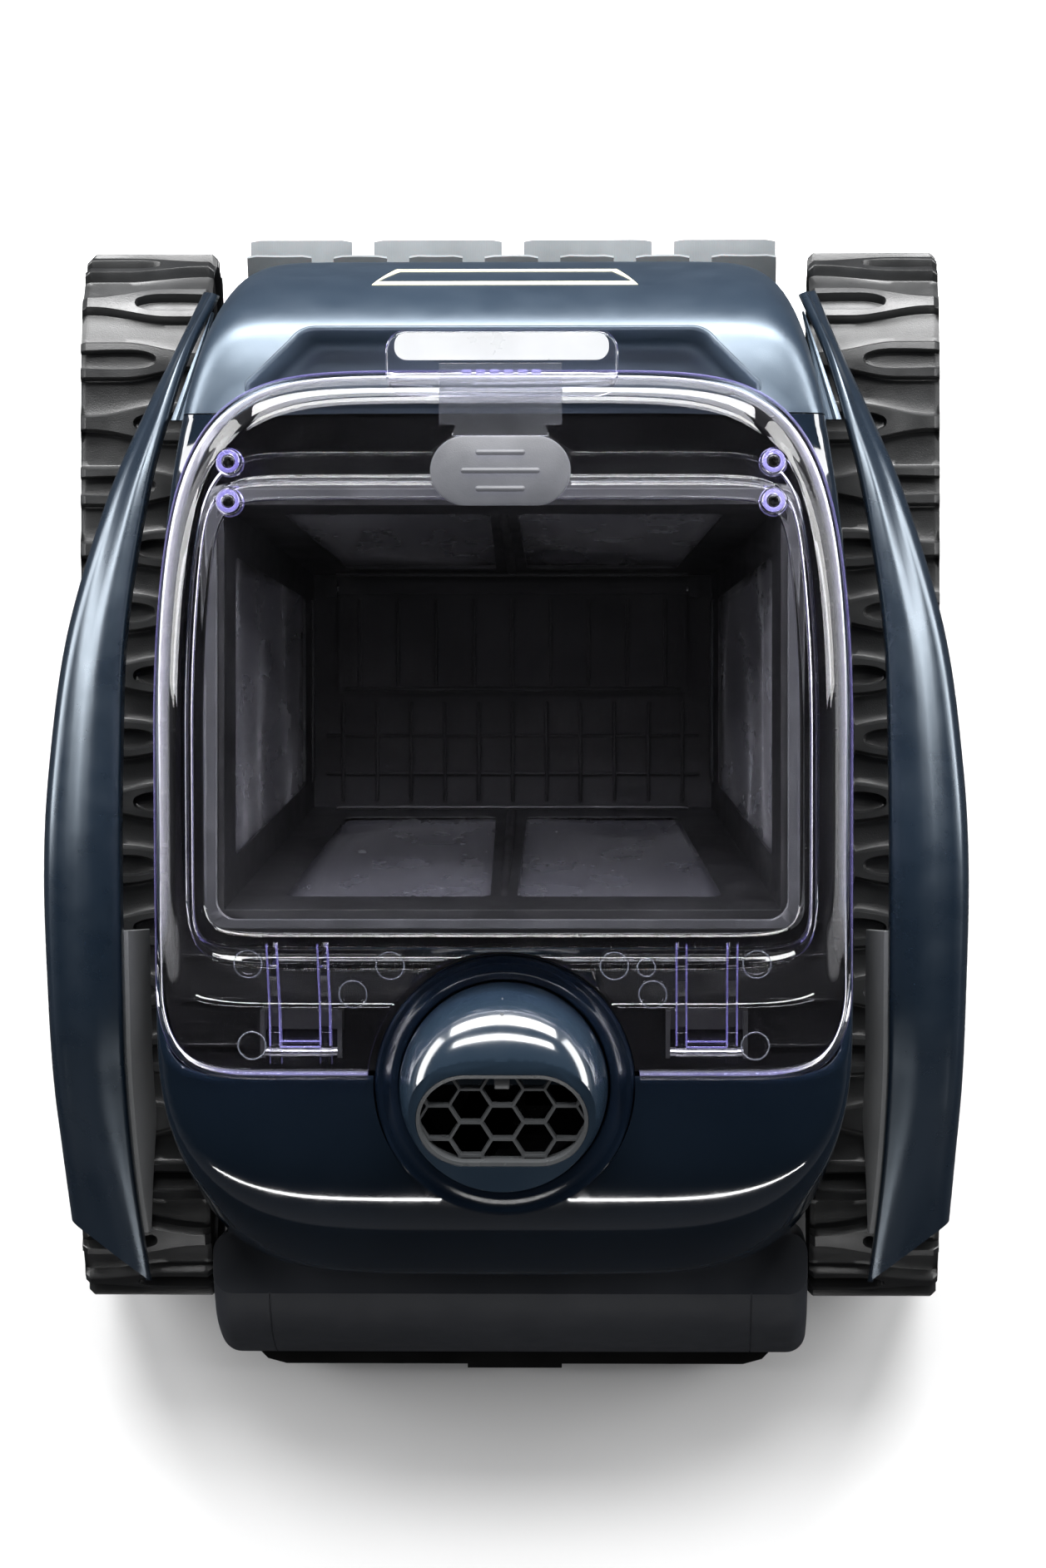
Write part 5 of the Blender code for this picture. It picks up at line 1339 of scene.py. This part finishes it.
def make_basket_floor():
    """Ribs on the basket's floor and on the flap over its inlet."""
    z = BASKET_Z[0]
    ribs = [floor_rib((x - 0.0008, x + 0.0008), (0.003, 0.05), (z - 0.0006, z + 0.0016), 0.0004)
            for x in (-0.08 + 0.016 * k for k in range(11))]
    ribs += [floor_rib((-0.088, 0.088), (y - 0.0007, y + 0.0007), (z - 0.0006, z + 0.0012), 0.0003)
             for y in (0.016, 0.034)]
    # The floor's ribs take the darker copy of the black plastic: painted shade inside the basket
    piece("floor_ribs", merged(*ribs), INNER_BLACK_PAINTED_SHADE)
    low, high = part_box("inlet_flap")
    top = low.z + 0.0038
    tall = (top - 0.0003, top + 0.0012)
    ribs = [floor_rib((x - 0.0008, x + 0.0008), (low.y + 0.003, high.y - 0.008), tall, 0.0004)
            for x in (-0.072 + 0.018 * k for k in range(9))]
    ribs.append(floor_rib((-0.079, 0.079), (low.y + 0.0008, low.y + 0.0028), tall, 0.0004))
    # The flap's ribs take the darker copy of the black plastic: painted shade inside the basket
    piece("flap_ribs", merged(*ribs), INNER_BLACK_PAINTED_SHADE, body="flap")


# ---------------------------------------------------------------- carried-over nodes


def dress_nodes():
    """Gives every CAD node that stays in view its own finish; a * stands for left and right."""
    dressing = (
        (CHASSIS, "lower_tub"),
        # Parts deep inside take the darker copy of the black plastic: painted shade
        (INNER_BLACK_PAINTED_SHADE, "intake_duct outlet_duct filter_floor inlet_flap propeller"),
        (BLACK, "base_plate *_hinge_bracket"),
        (CELL_WRAP, "battery_pack"),
        (GREY, "control_box *_gearbox *_wheel_bearing"),
        (STEEL, "flap_pin brush_shaft motor_shaft *_hinge_pin *_drive_shaft *_front_axle"),
        (DARK_STEEL, "pump_motor *_drive_motor"),
    )
    for finish, names in dressing:
        for name in names.split():
            for node in {name.replace("*", label) for label, _ in SIDES}:
                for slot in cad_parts[node].material_slots:
                    slot.material = finish.material


# ---------------------------------------------------------------- stage


# Brightness of the studio by direction, from -1 (0) to 1 (1) along each axis
WORLD_RAMPS = (
    ("Z", ((0.0, 0.08), (0.49, 0.10), (0.51, 0.60), (0.62, 0.40), (0.78, 0.05), (1.0, 0.03))),
    ("Y", ((0.0, 0.26), (0.30, 0.26), (0.55, 0.80), (0.75, 1.0))),
)

# Strip lights: name, place, what they aim at, size, watts
LIGHTS = (
    ("key_front", (0.0, 2.4, 1.3), (0.0, 0.0, 0.15), (3.0, 0.8), 180),
    ("front_high", (0.0, 1.7, 2.4), (0.0, 0.1, 0.15), (2.4, 0.40), 70),
    ("side_left", (-2.1, 0.9, 1.15), (0.0, 0.12, 0.12), (2.2, 0.80), 64),
    ("side_right", (2.1, 0.9, 1.15), (0.0, 0.12, 0.12), (2.2, 0.80), 64),
    ("rear_strip", (0.0, -2.3, 1.2), (0.0, 0.0, 0.12), (2.0, 0.07), 11),
)


def make_stage():
    """A pale floor, a studio that is bright low down in front, and five strip lights."""
    floor = linked("floor", prism(rounded_rectangle(-9, 9, -9, 9, 2.0, 24), -0.02, 0.0, edge=0.01))
    paper = Finish("floor_paper", roughness=0.9)
    paper.colour(paper.blend(paper.noise(3, 3), grey(0.86), grey(0.9)))
    paper.bump(paper.noise(300, 2), 0.0002, 0.2)
    floor.data.materials.append(paper.material)
    floor.visible_glossy = False

    bpy.context.scene.view_settings.view_transform = "Standard"
    world = bpy.data.worlds.new("studio")
    world.use_nodes = True
    bpy.context.scene.world = world
    nodes, join = world.node_tree.nodes, world.node_tree.links.new
    direction = nodes.new("ShaderNodeTexCoord")
    split = nodes.new("ShaderNodeSeparateXYZ")
    join(direction.outputs["Generated"], split.inputs["Vector"])
    shares = []
    for axis, stops in WORLD_RAMPS:
        spread = nodes.new("ShaderNodeMapRange")
        spread.inputs["From Min"].default_value = -1.0
        ramp = nodes.new("ShaderNodeValToRGB")
        ramp.color_ramp.elements.remove(ramp.color_ramp.elements[1])
        for index, (position, value) in enumerate(stops):
            stop = ramp.color_ramp.elements.new(position) if index else ramp.color_ramp.elements[0]
            stop.position = position
            stop.color = (value, value, value * 1.03, 1)
        join(split.outputs[axis], spread.inputs["Value"])
        join(spread.outputs["Result"], ramp.inputs["Fac"])
        shares.append(ramp.outputs["Color"])
    product = nodes.new("ShaderNodeVectorMath")
    product.operation = "MULTIPLY"
    for place, share in enumerate(shares):
        join(share, product.inputs[place])
    join(product.outputs["Vector"], nodes["Background"].inputs["Color"])

    for name, place, aim, size, power in LIGHTS:
        lamp = bpy.data.lights.new(name, "AREA")
        lamp.shape = "RECTANGLE"
        lamp.size, lamp.size_y = size
        lamp.energy = power
        obj = bpy.data.objects.new(name, lamp)
        obj.location = place
        obj.rotation_euler = (Vector(aim) - Vector(place)).to_track_quat("-Z", "Y").to_euler()
        bpy.context.scene.collection.objects.link(obj)


def make_camera():
    """The camera, straight above the machine and far off, as for the photograph."""
    eye, aim = Vector((0.078, 0.011, 3.0)), Vector((0.006, 0.011, 0.1))
    lens = bpy.data.cameras.new("camera")
    lens.sensor_width = 36.0
    lens.lens = 143.3
    lens.clip_start, lens.clip_end = 0.1, 60.0
    camera = bpy.data.objects.new("camera", lens)
    back = (eye - aim).normalized()
    right = Vector((0, 1, 0)).cross(back).normalized()
    turn = Matrix((right, back.cross(right), back)).transposed().to_4x4()
    camera.matrix_world = Matrix.Translation(eye) @ turn
    bpy.context.scene.collection.objects.link(camera)
    bpy.context.scene.camera = camera


make_camera()
make_stage()
make_hull()
make_hood_band()
make_deck()
for side_label, side_sign in SIDES:
    make_fender(side_label, side_sign)
    make_flank(side_label, side_sign)
    make_corner_insert(side_label, side_sign)
    make_track(side_label, side_sign)
    make_wheel(side_label, side_sign, "front", FRONT_AXLE_Y)
    make_wheel(side_label, side_sign, "rear", REAR_AXLE_Y)
make_brush()
make_tail()
for side_label, side_sign in SIDES:
    make_side_cover(side_label, side_sign)
make_foot_seal()
make_lid()
make_latch()
make_dome()
make_outlet()
make_seat()
make_basket()
make_mesh_cloth()
make_basket_floor()
dress_nodes()
